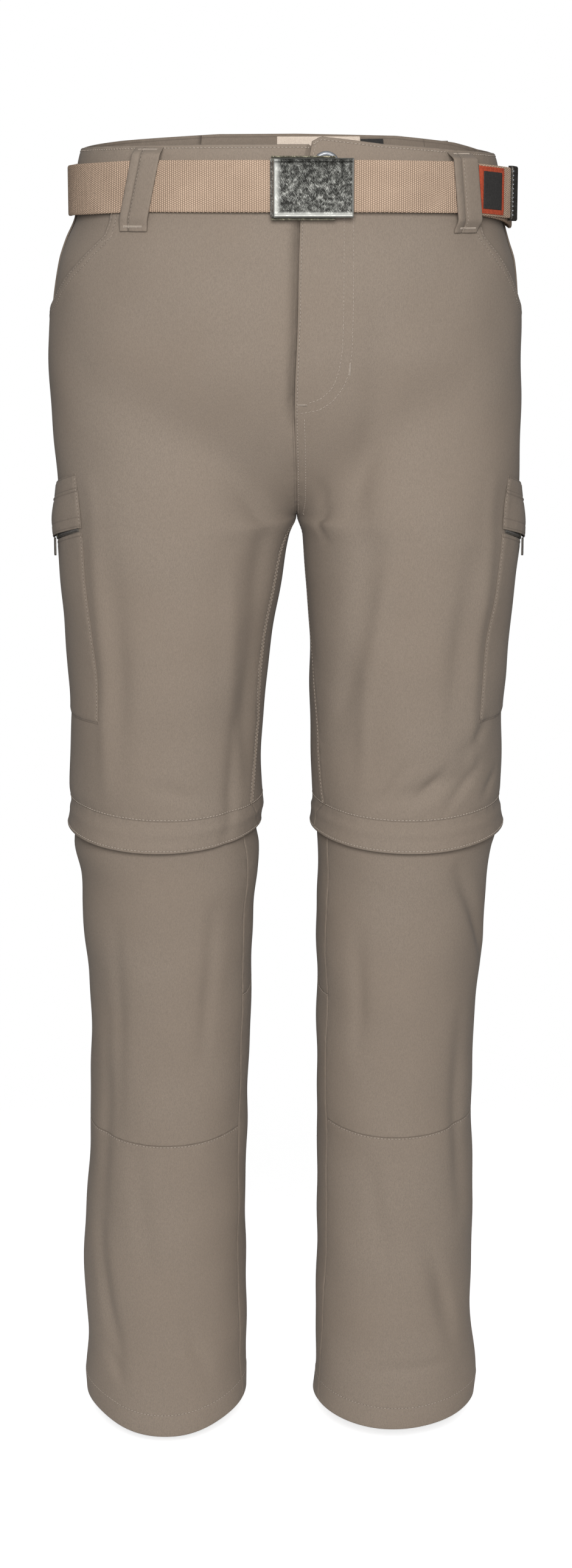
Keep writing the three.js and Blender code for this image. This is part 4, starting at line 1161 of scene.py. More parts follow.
@dataclass(frozen=True)
class ClothFinish(Finish):
    """Mixed-yarn outdoor cloth with puckered seams, painted shade along its seam edges and painted shadow along
    its stitch rows.
    """

    light: Colour = (0.285, 0.233, 0.187)
    dark: Colour = (0.222, 0.181, 0.145)
    warm: Colour = (0.245, 0.19, 0.145)
    # Colour of the painted shade at seam edges and the painted shadow along stitch rows
    edge: Colour = (0.12, 0.096, 0.076)
    sheen: float = 0.05

    def material(self, effects: Effects) -> bpy.types.Material:
        """Makes the material.

        Args:
            effects: Shared node groups.

        Returns:
            The material.
        """
        material, bench, shader = self.start()
        yarn = self.group(bench, effects.heather, Fleck_Scale=2300.0, Streak_Scale=1500.0, Tone_Scale=9.0)
        sewn = self.group(bench, effects.sewn, Pucker_Scale=110.0, Pucker_Reach=6.0, Crease_Scale=26.0)
        base = bench.blend(yarn.outputs["Fleck"], (*self.dark, 1), (*self.light, 1))
        tone = bench.math("MULTIPLY", yarn.outputs["Tone"], 0.3)
        base = bench.blend(tone, base, (*self.warm, 1))
        # worn holds no wear here: it is the share of painted shadow along stitch rows and painted shade at seam
        # edges
        worn = bench.math("MULTIPLY", sewn.outputs["Needle Line"], 0.45)
        worn = bench.math("MAXIMUM", worn, bench.math("MULTIPLY", sewn.outputs["Edge"], 0.18))
        bench.feed(shader.inputs["Base Color"], bench.blend(worn, base, (*self.edge, 1)))
        weave = bench.math("MULTIPLY", yarn.outputs["Height"], 0.05)
        height = bench.math("ADD", sewn.outputs["Height"], weave)
        bench.feed(shader.inputs["Normal"], bench.bump(height, 0.0016, 0.8))
        shader.inputs["Sheen Weight"].default_value = self.sheen
        shader.inputs["Sheen Roughness"].default_value = 0.5
        shader.inputs["Specular IOR Level"].default_value = 0.25
        return material


@dataclass(frozen=True)
class YarnFinish(Finish):
    """Thread, tape, coil or patch: two close tones in a fine grain."""

    light: Colour = (0.4, 0.35, 0.29)
    dark: Colour = (0.28, 0.24, 0.19)
    grain: float = 1500.0
    depth: float = 0.0003

    def material(self, effects: Effects) -> bpy.types.Material:
        """Makes the material.

        Args:
            effects: Shared node groups.

        Returns:
            The material.
        """
        material, bench, shader = self.start()
        scales = {"Fleck_Scale": self.grain, "Streak_Scale": self.grain, "Tone_Scale": 60.0}
        yarn = self.group(bench, effects.heather, **scales)
        base = bench.blend(yarn.outputs["Fleck"], (*self.dark, 1), (*self.light, 1))
        tone = bench.math("MULTIPLY", yarn.outputs["Tone"], 0.2)
        bench.feed(shader.inputs["Base Color"], bench.blend(tone, base, (*self.dark, 1)))
        bench.feed(shader.inputs["Normal"], bench.bump(yarn.outputs["Height"], self.depth, 0.7))
        shader.inputs["Specular IOR Level"].default_value = 0.3
        return material


@dataclass(frozen=True)
class WebbingFinish(Finish):
    """Thick woven webbing with a beaded face."""

    bead: Colour = (0.62, 0.455, 0.335)
    # Colour of the painted shade in the holes between the beads, also the dark end of the webbing's random tone
    gap: Colour = (0.15, 0.09, 0.055)

    def material(self, effects: Effects) -> bpy.types.Material:
        """Makes the material.

        Args:
            effects: Shared node groups.

        Returns:
            The material.
        """
        material, bench, shader = self.start()
        beads = self.group(bench, effects.beads, Bead_Length=1.8, Bead_Width=1.65)
        yarn = self.group(bench, effects.heather, Fleck_Scale=700.0, Streak_Scale=400.0, Tone_Scale=25.0)
        base = bench.blend(beads.outputs["Shade"], (*self.gap, 1), (*self.bead, 1))
        tone = bench.math("MULTIPLY", yarn.outputs["Tone"], 0.18)
        bench.feed(shader.inputs["Base Color"], bench.blend(tone, base, (*self.gap, 1)))
        bench.feed(shader.inputs["Normal"], bench.bump(beads.outputs["Height"], 0.0007, 0.9))
        shader.inputs["Specular IOR Level"].default_value = 0.3
        return material


@dataclass(frozen=True)
class MetalFinish(Finish):
    """Plated metal, mottled and marked by use."""

    bright: Colour = (0.115, 0.115, 0.105)
    dull: Colour = (0.012, 0.012, 0.01)
    mottle: float = 240.0
    marks: float = 2100.0
    dull_roughness: float = 0.6
    # Colour of a painted highlight on the rounded rims of the plate
    rim_highlight: Colour | None = None
    LEFT_RIM: ClassVar[tuple[float, float]] = (6.5, 0.0)
    LOW_RIM: ClassVar[tuple[float, float]] = (6.5, 3.6)
    LOW_BEVEL: ClassVar[tuple[float, float]] = (0.8, 2.2)
    THIN_RIM: ClassVar[tuple[float, float]] = (1.6, 0.4)

    def rim(self, bench: Bench) -> bpy.types.NodeSocket:
        """Share of the painted highlight on the rounded rims: wide at the left, a band at the bottom, thin
        elsewhere.

        Args:
            bench: Bench of the material.

        Returns:
            The share.
        """
        up = bench.attribute("across_mm")
        left = bench.ramp(bench.attribute("along_mm"), *self.LEFT_RIM)
        low = bench.math("MULTIPLY", bench.ramp(up, *self.LOW_RIM), bench.ramp(up, *self.LOW_BEVEL))
        thin = bench.math("MULTIPLY", bench.ramp(bench.attribute("seam_mm"), *self.THIN_RIM), 0.6)
        both = bench.math("MAXIMUM", bench.math("MULTIPLY", left, 0.75), bench.math("MULTIPLY", low, 0.7))
        return bench.math("MAXIMUM", both, thin)

    def material(self, effects: Effects) -> bpy.types.Material:
        """Makes the material.

        Args:
            effects: Shared node groups.

        Returns:
            The material.
        """
        material, bench, shader = self.start()
        worn = self.group(bench, effects.scratches, Mottle_Scale=self.mottle, Mark_Scale=self.marks)
        base = bench.blend(worn.outputs["Worn"], (*self.dull, 1), (*self.bright, 1))
        # The rounded rims get a painted highlight
        if self.rim_highlight:
            base = bench.blend(self.rim(bench), base, (*self.rim_highlight, 1))
        bench.feed(shader.inputs["Base Color"], base)
        spread = {"Value": worn.outputs["Worn"], "To Min": self.dull_roughness, "To Max": self.roughness}
        bench.feed(shader.inputs["Roughness"], bench.node("ShaderNodeMapRange", spread).outputs[0])
        bench.feed(shader.inputs["Normal"], bench.bump(worn.outputs["Height"], 0.0004, 0.5))
        shader.inputs["Metallic"].default_value = 0.9
        return material


class Wardrobe:
    """All finishes, made into materials once."""

    FINISHES = (
        ("cloth", ClothFinish("trouser cloth")),
        (
            "lining",
            ClothFinish("pocket lining cloth", light=(0.22, 0.185, 0.15), dark=(0.15, 0.125, 0.1)),
        ),
        ("thread", YarnFinish("beige thread", 0.75, (0.5, 0.43, 0.36), (0.37, 0.31, 0.26))),
        ("webbing", WebbingFinish("belt webbing")),
        ("zip", YarnFinish("zip tape", 0.8, (0.16, 0.14, 0.12), (0.1, 0.09, 0.075))),
        ("coil", YarnFinish("zip coil", 0.5, (0.12, 0.11, 0.1), (0.07, 0.065, 0.06))),
        (
            "pewter",
            MetalFinish("worn pewter", 0.4, (0.25, 0.25, 0.23), (0.018, 0.018, 0.016), rim_highlight=(0.6, 0.6, 0.56)),
        ),
        ("plated", MetalFinish("plated rail", 0.36, (0.2, 0.185, 0.13), (0.04, 0.037, 0.028))),
        ("gunmetal", MetalFinish("gunmetal", 0.4, (0.16, 0.155, 0.14), (0.045, 0.04, 0.035))),
        ("steel", MetalFinish("bright steel", 0.3, (0.62, 0.64, 0.67), (0.3, 0.31, 0.33), 90.0)),
        ("pull", YarnFinish("moulded pull", 0.55, (0.12, 0.105, 0.09), (0.07, 0.06, 0.05))),
        ("patch", YarnFinish("orange patch", 0.7, (0.5, 0.085, 0.035), (0.36, 0.055, 0.025), 600.0)),
        ("inset", YarnFinish("charcoal inset", 0.65, (0.045, 0.042, 0.04), (0.025, 0.024, 0.023))),
        ("tape", YarnFinish("cream tape", 0.85, (0.86, 0.74, 0.62), (0.72, 0.6, 0.5))),
    )

    def __init__(self) -> None:
        """Makes every material."""
        effects = Effects()
        self.materials = {key: finish.material(effects) for key, finish in self.FINISHES}

    def dress(
        self, obj: bpy.types.Object, finish: str, slot: str, *nodes: str, body: str = BODY
    ) -> bpy.types.Object:
        """Gives a piece its finish and body, and hides the nodes it stands for.

        Args:
            obj: The piece.
            finish: Name of its finish.
            slot: Not used.
            nodes: Nodes that it replaces.
            body: The body that it rides on.

        Returns:
            The piece.
        """
        obj.data.materials.clear()
        obj.data.materials.append(self.materials[finish])
        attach(obj, body)
        if nodes:
            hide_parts(*nodes)
        return obj

    def keep(self, node: str, finish: str) -> None:
        """Gives a hard solid that stays its finish."""
        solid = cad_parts[node]
        solid.data.materials.clear()
        solid.data.materials.append(self.materials[finish])

    def cut(
        self,
        shell: Shell,
        node: str,
        finish: str,
        slot: str,
        sewing: Sewing | None = None,
    ) -> bpy.types.Object:
        """Makes one piece of cloth with its sewing.

        Args:
            shell: The piece's shape.
            node: The solid that it replaces.
            finish: Name of its finish.
            slot: The record's slot.
            sewing: Its stitches.

        Returns:
            The piece.
        """
        obj = self.dress(shell.build(f"cloth_{node}"), finish, slot, node)
        with_pieces = []
        if sewing and sewing.count:
            with_pieces = [self.dress(sewing.build(f"sewing_{node}"), "thread", slot)]
        return obj


@dataclass
class Panel:
    """A piece of cloth cut between a left and a right seam, a low and a high edge."""

    part: Part
    side: Side
    left: Line
    right: Line
    low: Line
    high: Line

    def edge(self, line: Line, c: Array) -> Array:
        """Height of an edge at each share of the width."""
        middle = line(np.array(180.0))
        start = line(mix(self.left(middle), self.right(middle), c))
        return line(mix(self.left(start), self.right(start), c))

    def __call__(self, c: Array, r: Array, out: Array) -> Array:
        """Points of the piece.

        Args:
            c: Shares of the width.
            r: Shares of the height.
            out: Distances out of the cloth.

        Returns:
            Points in millimetres.
        """
        z = mix(self.edge(self.low, c), self.edge(self.high, c), r)
        turn = mix(self.left(z), self.right(z), c)
        return FORM.skin(self.part, self.side, turn, z, out)


@dataclass
class UpperLeg:
    """Front and back of one upper leg, and the facing behind the slant pocket."""

    side: Side
    slant_rows: tuple[float, ...] = (2.0, 7.0)
    seam_rows: tuple[float, ...] = (2.0,)
    knee_row: float = 1.1
    fly_low_z: float = -182.0
    fly_dip: float = 7.5
    tack_z: float = -44.0
    facing_low_z: float = -104.0
    facing_inset: float = 9.0

    def inseam(self, z: Array) -> Array:
        """Turn of the inseam, which is the centre plane above the crotch."""
        return np.where(z >= CROTCH_Z, 0.0, INSEAM_UPPER.line(self.side.value, z))

    def slant(self, z: Array) -> Array:
        """Turn of the hand pocket's slanted edge."""
        return SLANT.line(self.side.value, z)

    def fly_lift(self, distance: dict[Edge, Array], points: Array) -> Array:
        """The wearer's left front stands proud at the fly and the right front dips under it.

        Args:
            distance: Distances from the piece's edges.
            points: Points of the piece.

        Returns:
            Distances out.
        """
        z = points[..., 2]
        reach = smooth((z + 205) / 40) * smooth((-22 - z) / 14)
        near = distance[Edge.LEFT]
        if self.side is Side.RIGHT:
            return -self.fly_dip * hill(near, 6.0) * reach
        return 0.9 * (1 - smooth((near - 2) / 16)) * reach

    def build(self, wardrobe: Wardrobe) -> None:
        """Makes the pieces.

        Args:
            wardrobe: The finishes.
        """
        tag = self.side.value
        gap = lambda z: np.where(z >= CROTCH_Z, 0.0, HALF_GAP)
        front = Shell(
            Panel(
                Part.THIGH,
                self.side,
                lambda z: self.inseam(z) + gap(z),
                lambda z: np.minimum(SIDE_SEAM_TURN, np.where(z > -107, self.slant(z), 360.0)) - HALF_GAP,
                lambda turn: knee_seam(turn) + CLOSE_GAP / 2,
                band_seam,
            ),
            {
                Edge.LEFT: Seam(self.seam_rows, pad=0.3 if self.side is Side.LEFT else 0.0),
                Edge.RIGHT: Seam(self.slant_rows, pad=0.35),
                Edge.LOW: Seam((self.knee_row,), roll=0.15),
                Edge.HIGH: PLAIN,
            },
            extra=self.fly_lift,
        )
        sewing = Sewing()
        for row in self.slant_rows:
            sewing.run(between_heights(front.line(Edge.RIGHT, row), -104, -18), LIGHT_STITCH)
        sewing.run(between_heights(front.line(Edge.RIGHT, self.slant_rows[0]), -600, -104))
        sewing.run(front.line(Edge.LOW, self.knee_row), HEAVY_STITCH)
        sewing.run(self.slant_tack(front), LIGHT_STITCH, 0.0)
        if self.side is Side.LEFT:
            sewing.run(between_heights(front.line(Edge.LEFT, self.seam_rows[0]), CROTCH_Z, -18))
            sewing.run(between_heights(front.line(Edge.LEFT, 8.0), CROTCH_Z, self.fly_low_z))
            self.fly_sewing(sewing)
        else:
            sewing.run(between_heights(front.line(Edge.LEFT, 2.0), -600, CROTCH_Z))
        wardrobe.cut(front, f"front_upper_{tag}", "cloth", "cloth", sewing)
        back = Shell(
            Panel(
                Part.THIGH,
                self.side,
                lambda z: np.full(np.shape(z), SIDE_SEAM_TURN + HALF_GAP),
                lambda z: 360 + self.inseam(z) - gap(z),
                lambda turn: knee_seam(turn % 360) + CLOSE_GAP / 2,
                band_seam,
            ),
            {
                Edge.LEFT: PLAIN,
                Edge.RIGHT: Seam((2.0, 8.0) if self.side is Side.LEFT else (2.0,), pad=0.3),
                Edge.LOW: Seam((self.knee_row,), roll=0.15),
                Edge.HIGH: PLAIN,
            },
        )
        sewing = Sewing()
        sewing.run(back.line(Edge.LOW, self.knee_row), HEAVY_STITCH)
        sewing.run(back.line(Edge.RIGHT, 2.0))
        if self.side is Side.LEFT:
            sewing.run(between_heights(back.line(Edge.RIGHT, 8.0), CROTCH_Z, 0))
        wardrobe.cut(back, f"back_upper_{tag}", "cloth", "cloth", sewing)
        facing = Shell(
            Panel(
                Part.THIGH,
                self.side,
                lambda z: self.slant(z) - self.facing_inset,
                lambda z: np.full(np.shape(z), SIDE_SEAM_TURN + 4),
                lambda turn: np.full(np.shape(turn), self.facing_low_z),
                band_seam,
            ),
            out=-(CLOTH + HIDDEN_GAP),
        )
        wardrobe.cut(facing, f"pocket_facing_{tag}", "cloth", "cloth_inner")

    def slant_tack(self, front: Shell) -> tuple[Array, Array]:
        """A short line over the two rows at the top of the slanted edge.

        Args:
            front: The front piece.

        Returns:
            Points and outward directions.
        """
        points, outward = [], []
        for row in np.linspace(self.slant_rows[0] - 1, self.slant_rows[-1] + 1, 5):
            line, out = front.line(Edge.RIGHT, row)
            nearest = int(np.argmin(np.abs(line[:, 2] - self.tack_z)))
            points.append(line[nearest])
            outward.append(out[nearest])
        return np.array(points), np.array(outward)

    def fly_sewing(self, sewing: Sewing) -> None:
        """Adds the double curved row and the bartacks of the fly.

        Args:
            sewing: The stitches of the wearer's left front.
        """
        for corners in FLY_ROWS:
            sewing.run(self.on_front(np.array(corners, float)))
        for corners in FLY_BARTACKS:
            sewing.run(self.on_front(np.array(corners, float)), BARTACK, 0.0)

    def on_front(self, corners: Array) -> tuple[Array, Array]:
        """A smooth line over the front cloth.

        Args:
            corners: X and Z of the line's corners.

        Returns:
            Points and outward directions.
        """
        step = np.linspace(0, len(corners) - 1, 60)
        knots = np.arange(len(corners))
        x = np.interp(step, knots, corners[:, 0])
        z = np.interp(step, knots, corners[:, 1])
        for _ in range(6 if len(corners) > 2 else 0):
            x[1:-1] = (x[:-2] + 2 * x[1:-1] + x[2:]) / 4
            z[1:-1] = (z[:-2] + 2 * z[1:-1] + z[2:]) / 4
        turns = np.linspace(0.0, 80.0, 200)
        found = []
        for want, height in zip(x, z):
            across = FORM.skin(Part.THIGH, self.side, turns, height)[:, 0] * self.side.sign
            found.append(np.interp(want, across, turns))
        turn = np.array(found)
        lift = 0.9 * (1 - smooth((x - 2) / 16)) * smooth((z + 205) / 40)
        points = FORM.skin(Part.THIGH, self.side, turn, z, lift)
        return points, FORM.outward(Part.THIGH, self.side, turn, z)


@dataclass
class ThighPocket:
    """Zipped pocket on the outer thigh: bag, flap, tape with coil, slider and pull."""

    side: Side
    low_z: float = -439.0
    top_z: float = -280.0
    flap_top_z: float = -232.0
    flap_edge_z: float = -276.5
    flap_rows: tuple[float, ...] = (1.8, 9.0)
    flare: float = 3.6
    tuck: float = 13.2
    cloth: float = 1.0
    side_row: float = 1.8
    side_stand: float = 1.25
    side_flare: float = 0.7

    def front(self, z: Array) -> Array:
        """Turn of the pocket's front edge."""
        return POCKET_FRONT.line(self.side.value, z)

    def back(self, z: Array) -> Array:
        """Turn of the pocket's back edge."""
        return 2 * SIDE_SEAM_TURN - 10 - self.front(z)

    @staticmethod
    def middle(c: Array) -> Array:
        """Share that grows from the sewn sides to the middle of the pocket, over the slider."""
        return smooth(np.minimum(c, 1 - c) / 0.3)

    def stand(self, c: Array) -> Array:
        """How far the outer face of the bag stands off the leg."""
        return mix(self.side_stand, POCKET_GAP + CLOTH, self.middle(c))

    def flap_stand(self, c: Array, r: Array) -> Array:
        """How far the outer face of the flap stands off the leg, more towards its edge."""
        return self.stand(c) + mix(self.side_flare, self.flare, self.middle(c)) * smooth((1 - r) * 1.4)

    def panel(self, low: Line, high: Line, inset: float = 0.0) -> Panel:
        """A piece between the pocket's front and back edges."""
        return Panel(
            Part.THIGH, self.side, lambda z: self.front(z) + inset, lambda z: self.back(z) - inset, low, high
        )

    def build(self, wardrobe: Wardrobe) -> None:
        """Makes the pieces.

        Args:
            wardrobe: The finishes.
        """
        tag = self.side.value
        bag = Shell(
            self.panel(
                steady(self.low_z),
                lambda turn: self.top_z - pocket_slope(turn),
            ),
            {
                Edge.LEFT: Seam((self.side_row,), roll=0.9, reach=4.0),
                Edge.RIGHT: Seam((self.side_row,), roll=0.9, reach=4.0),
                Edge.LOW: Seam((1.4,), roll=0.9, reach=4.0),
                Edge.HIGH: Seam((3.0,)),
            },
            out=lambda c, r: mix(self.side_stand, self.stand(c), smooth(r * 4)),
            thick=self.cloth,
            pitch=3.0,
        )
        sewing = Sewing()
        for edge in (Edge.LEFT, Edge.RIGHT):
            sewing.run(bag.line(edge, self.side_row), LIGHT_STITCH, 2.0)
        wardrobe.cut(bag, f"thigh_pocket_{tag}", "cloth", "cloth", sewing)
        tape_low = lambda turn: self.top_z - pocket_slope(turn) + 0.7
        tape = Shell(
            self.panel(tape_low, lambda turn: tape_low(turn) + 12.0, 3.0),
            out=lambda c, r: mix(0.5, 1.9, self.middle(c)) + 0.3 * hill(r - 0.18, 0.12),
            thick=0.4,
            pitch=2.4,
        )
        teeth = Sewing()
        teeth.run(tape.line(Edge.LOW, 2.2), COIL)
        wardrobe.cut(tape, f"thigh_zip_tape_{tag}", "zip", "zip_tape")
        wardrobe.dress(teeth.build(f"thigh_zip_coil_{tag}"), "coil", "zip_tape")
        flap = Shell(
            self.panel(
                lambda turn: self.flap_edge_z - pocket_slope(turn),
                lambda turn: self.flap_top_z - pocket_slope(turn),
            ),
            {
                Edge.LEFT: Seam((self.side_row,), roll=0.9, reach=4.0),
                Edge.RIGHT: Seam((self.side_row,), roll=0.9, reach=4.0),
                Edge.LOW: Seam(self.flap_rows, roll=0.4),
                Edge.HIGH: Seam((1.2, self.tuck - 1.4, self.tuck + 1.4), roll=0.9, reach=3.0, dip=0.45),
            },
            out=self.flap_stand,
            thick=self.cloth,
            extra=lambda distance, points: 0.5 * hill(distance[Edge.HIGH] - self.tuck, 1.2),
            pitch=2.8,
        )
        sewing = Sewing()
        for edge in (Edge.LEFT, Edge.RIGHT):
            sewing.run(flap.line(edge, self.side_row), LIGHT_STITCH, 2.0)
        wardrobe.cut(flap, f"thigh_pocket_flap_{tag}", "cloth", "cloth", sewing)
        wardrobe.keep(f"thigh_zip_slider_{tag}", "plated")
        wardrobe.keep(f"thigh_zip_pull_{tag}", "pull")


@dataclass
class Knee:
    """The knee flap of one leg and the zip-off zip behind it."""

    side: Side
    edge_row: float = 2.2
    ridge: float = 16.0
    tape_high_z: float = -511.0
    tape_low_z: float = -540.0

    def inseam(self, z: Array) -> Array:
        """Turn of the flap's inseam."""
        return INSEAM_FLAP.line(self.side.value, z)

    def build(self, wardrobe: Wardrobe) -> None:
        """Makes the pieces.

        Args:
            wardrobe: The finishes.
        """
        tag = self.side.value
        seams = {
            Edge.LOW: Seam((self.edge_row,), roll=0.6, pad=0.25),
            Edge.HIGH: Seam(roll=0.15),
        }
        cuts = (
            ("front", lambda z: self.inseam(z) + HALF_GAP, steady(SIDE_SEAM_TURN - HALF_GAP)),
            ("back", steady(SIDE_SEAM_TURN + HALF_GAP), lambda z: 360 + self.inseam(z) - HALF_GAP),
        )
        for place, left, right in cuts:
            flap = Shell(
                Panel(
                    Part.THIGH,
                    self.side,
                    left,
                    right,
                    lambda turn: flap_edge(turn % 360),
                    lambda turn: knee_seam(turn % 360) - CLOSE_GAP / 2,
                ),
                seams,
                extra=lambda distance, points: 0.8 * hill(distance[Edge.LOW] - self.ridge, 3.6),
                pitch=3.0,
            )
            sewing = Sewing()
            sewing.run(flap.line(Edge.LOW, self.edge_row), HEAVY_STITCH)
            wardrobe.cut(flap, f"knee_flap_{place}_{tag}", "cloth", "cloth", sewing)
        self.build_zip(wardrobe)

    def build_zip(self, wardrobe: Wardrobe) -> None:
        """Makes the two tapes with their coils.

        Args:
            wardrobe: The finishes.
        """
        tag = self.side.value
        tapes = (
            ("upper", ZIP_SPLIT_Z + SEAM_GAP / 2, self.tape_high_z, Edge.LOW),
            ("lower", self.tape_low_z, ZIP_SPLIT_Z - SEAM_GAP / 2, Edge.HIGH),
        )
        for name, low, high, coil in tapes:
            ring = lambda c, r, out, low=low, high=high: FORM.skin(
                Part.LOWER, self.side, c * 360, mix(low, high, r), out
            )
            tape = Shell(ring, {Edge.LOW: Seam(roll=0.1), Edge.HIGH: Seam(roll=0.1)}, 1.6, 0.9, closed=True)
            teeth = Sewing()
            teeth.run(tape.line(coil, 1.6), KNEE_COIL, 0.0)
            wardrobe.cut(tape, f"knee_zip_{name}_{tag}", "zip", "zip_tape")
            wardrobe.dress(teeth.build(f"knee_zip_{name}_coil_{tag}"), "coil", "zip_tape")
        wardrobe.keep(f"knee_zip_slider_{tag}", "plated")


@dataclass
class LowerLeg:
    """Front knee, front shin, back knee and back calf of one leg, with the turned-up hem."""

    side: Side
    hem_row: float = 20.0
    seam_row: float = 1.1

    def shin_seam(self, turn: Array) -> Array:
        """Height of the seam across the shin."""
        level = {Side.RIGHT: -803.0, Side.LEFT: -795.0}[self.side]
        return level - 7.0 * front_low(turn)

    def hem(self, turn: Array) -> Array:
        """Height of the hem."""
        dip = {Side.RIGHT: 18.0, Side.LEFT: 8.0}[self.side]
        return HEM_Z[self.side.value] - dip * front_low(turn % 360)

    def thick(self, z: Array) -> Array:
        """Thickness of the wall, doubled where the hem is turned up."""
        return np.where(z < HEM_Z[self.side.value] + HEM_DEPTH, HEM_CLOTH, CLOTH)

    def build(self, wardrobe: Wardrobe) -> None:
        """Makes the pieces.

        Args:
            wardrobe: The finishes.
        """
        tag = self.side.value
        inseam = lambda z: INSEAM_LOWER.line(tag, z)
        left = lambda z: inseam(z) + LOWER_HALF_GAP
        right = steady(SIDE_SEAM_TURN - LOWER_HALF_GAP)
        back_left = steady(SIDE_SEAM_TURN + LOWER_HALF_GAP)
        back_right = lambda z: 360 + inseam(z) - LOWER_HALF_GAP
        top = steady(LOWER_TOP_Z)
        half = CLOSE_GAP / 2
        sewn = Seam((self.seam_row,), roll=0.15)
        joined = Seam(roll=0.6)
        hem = Seam((self.hem_row,), pad=0.3)
        cuts = (
            ("front_knee", left, right, lambda t: self.shin_seam(t) + half, top, joined, PLAIN, joined),
            ("front_shin", left, right, self.hem, lambda t: self.shin_seam(t) - half, hem, sewn, joined),
            ("back_knee", back_left, back_right, lambda t: calf_seam(t) + half, top, joined, PLAIN, joined),
            ("back_calf", back_left, back_right, self.hem, lambda t: calf_seam(t) - half, hem, sewn, joined),
        )
        for name, west, east, low, high, low_seam, high_seam, side_seam in cuts:
            seams = {Edge.LOW: low_seam, Edge.HIGH: high_seam, Edge.LEFT: side_seam, Edge.RIGHT: side_seam}
            shell = Shell(Panel(Part.LOWER, self.side, west, east, low, high), seams, thick=self.thick)
            sewing = Sewing()
            for edge, seam in seams.items():
                for row in seam.rows:
                    sewing.run(shell.line(edge, row))
            wardrobe.cut(shell, f"{name}_{tag}", "cloth", "cloth", sewing)


@dataclass
class Fly:
    """Facing and zip behind the wearer's left front."""

    behind: float = CLOTH + HIDDEN_GAP + 0.5
    facing_cloth: float = 1.3
    low_z: float = -182.0

    def bottom(self, turn: Array) -> Array:
        """Curved lower edge of the facing."""
        share = np.minimum(1.0, turn / 22)
        return self.low_z + 60 * (1 - np.sqrt(np.maximum(0.0, 1 - share * share)))

    def build(self, wardrobe: Wardrobe) -> None:
        """Makes the pieces.

        Args:
            wardrobe: The finishes.
        """
        facing = Shell(
            Panel(Part.THIGH, Side.LEFT, steady(1), steady(21), self.bottom, steady(-20)),
            out=-self.behind,
            thick=self.facing_cloth,
        )
        wardrobe.cut(facing, "fly_facing", "lining", "cloth_inner")
        tape = Shell(
            Panel(Part.THIGH, Side.LEFT, steady(1), steady(15), steady(-165), steady(-22)),
            out=-self.behind - self.facing_cloth - 1.0,
            thick=1.2,
        )
        wardrobe.cut(tape, "fly_zip", "zip", "zip_tape")


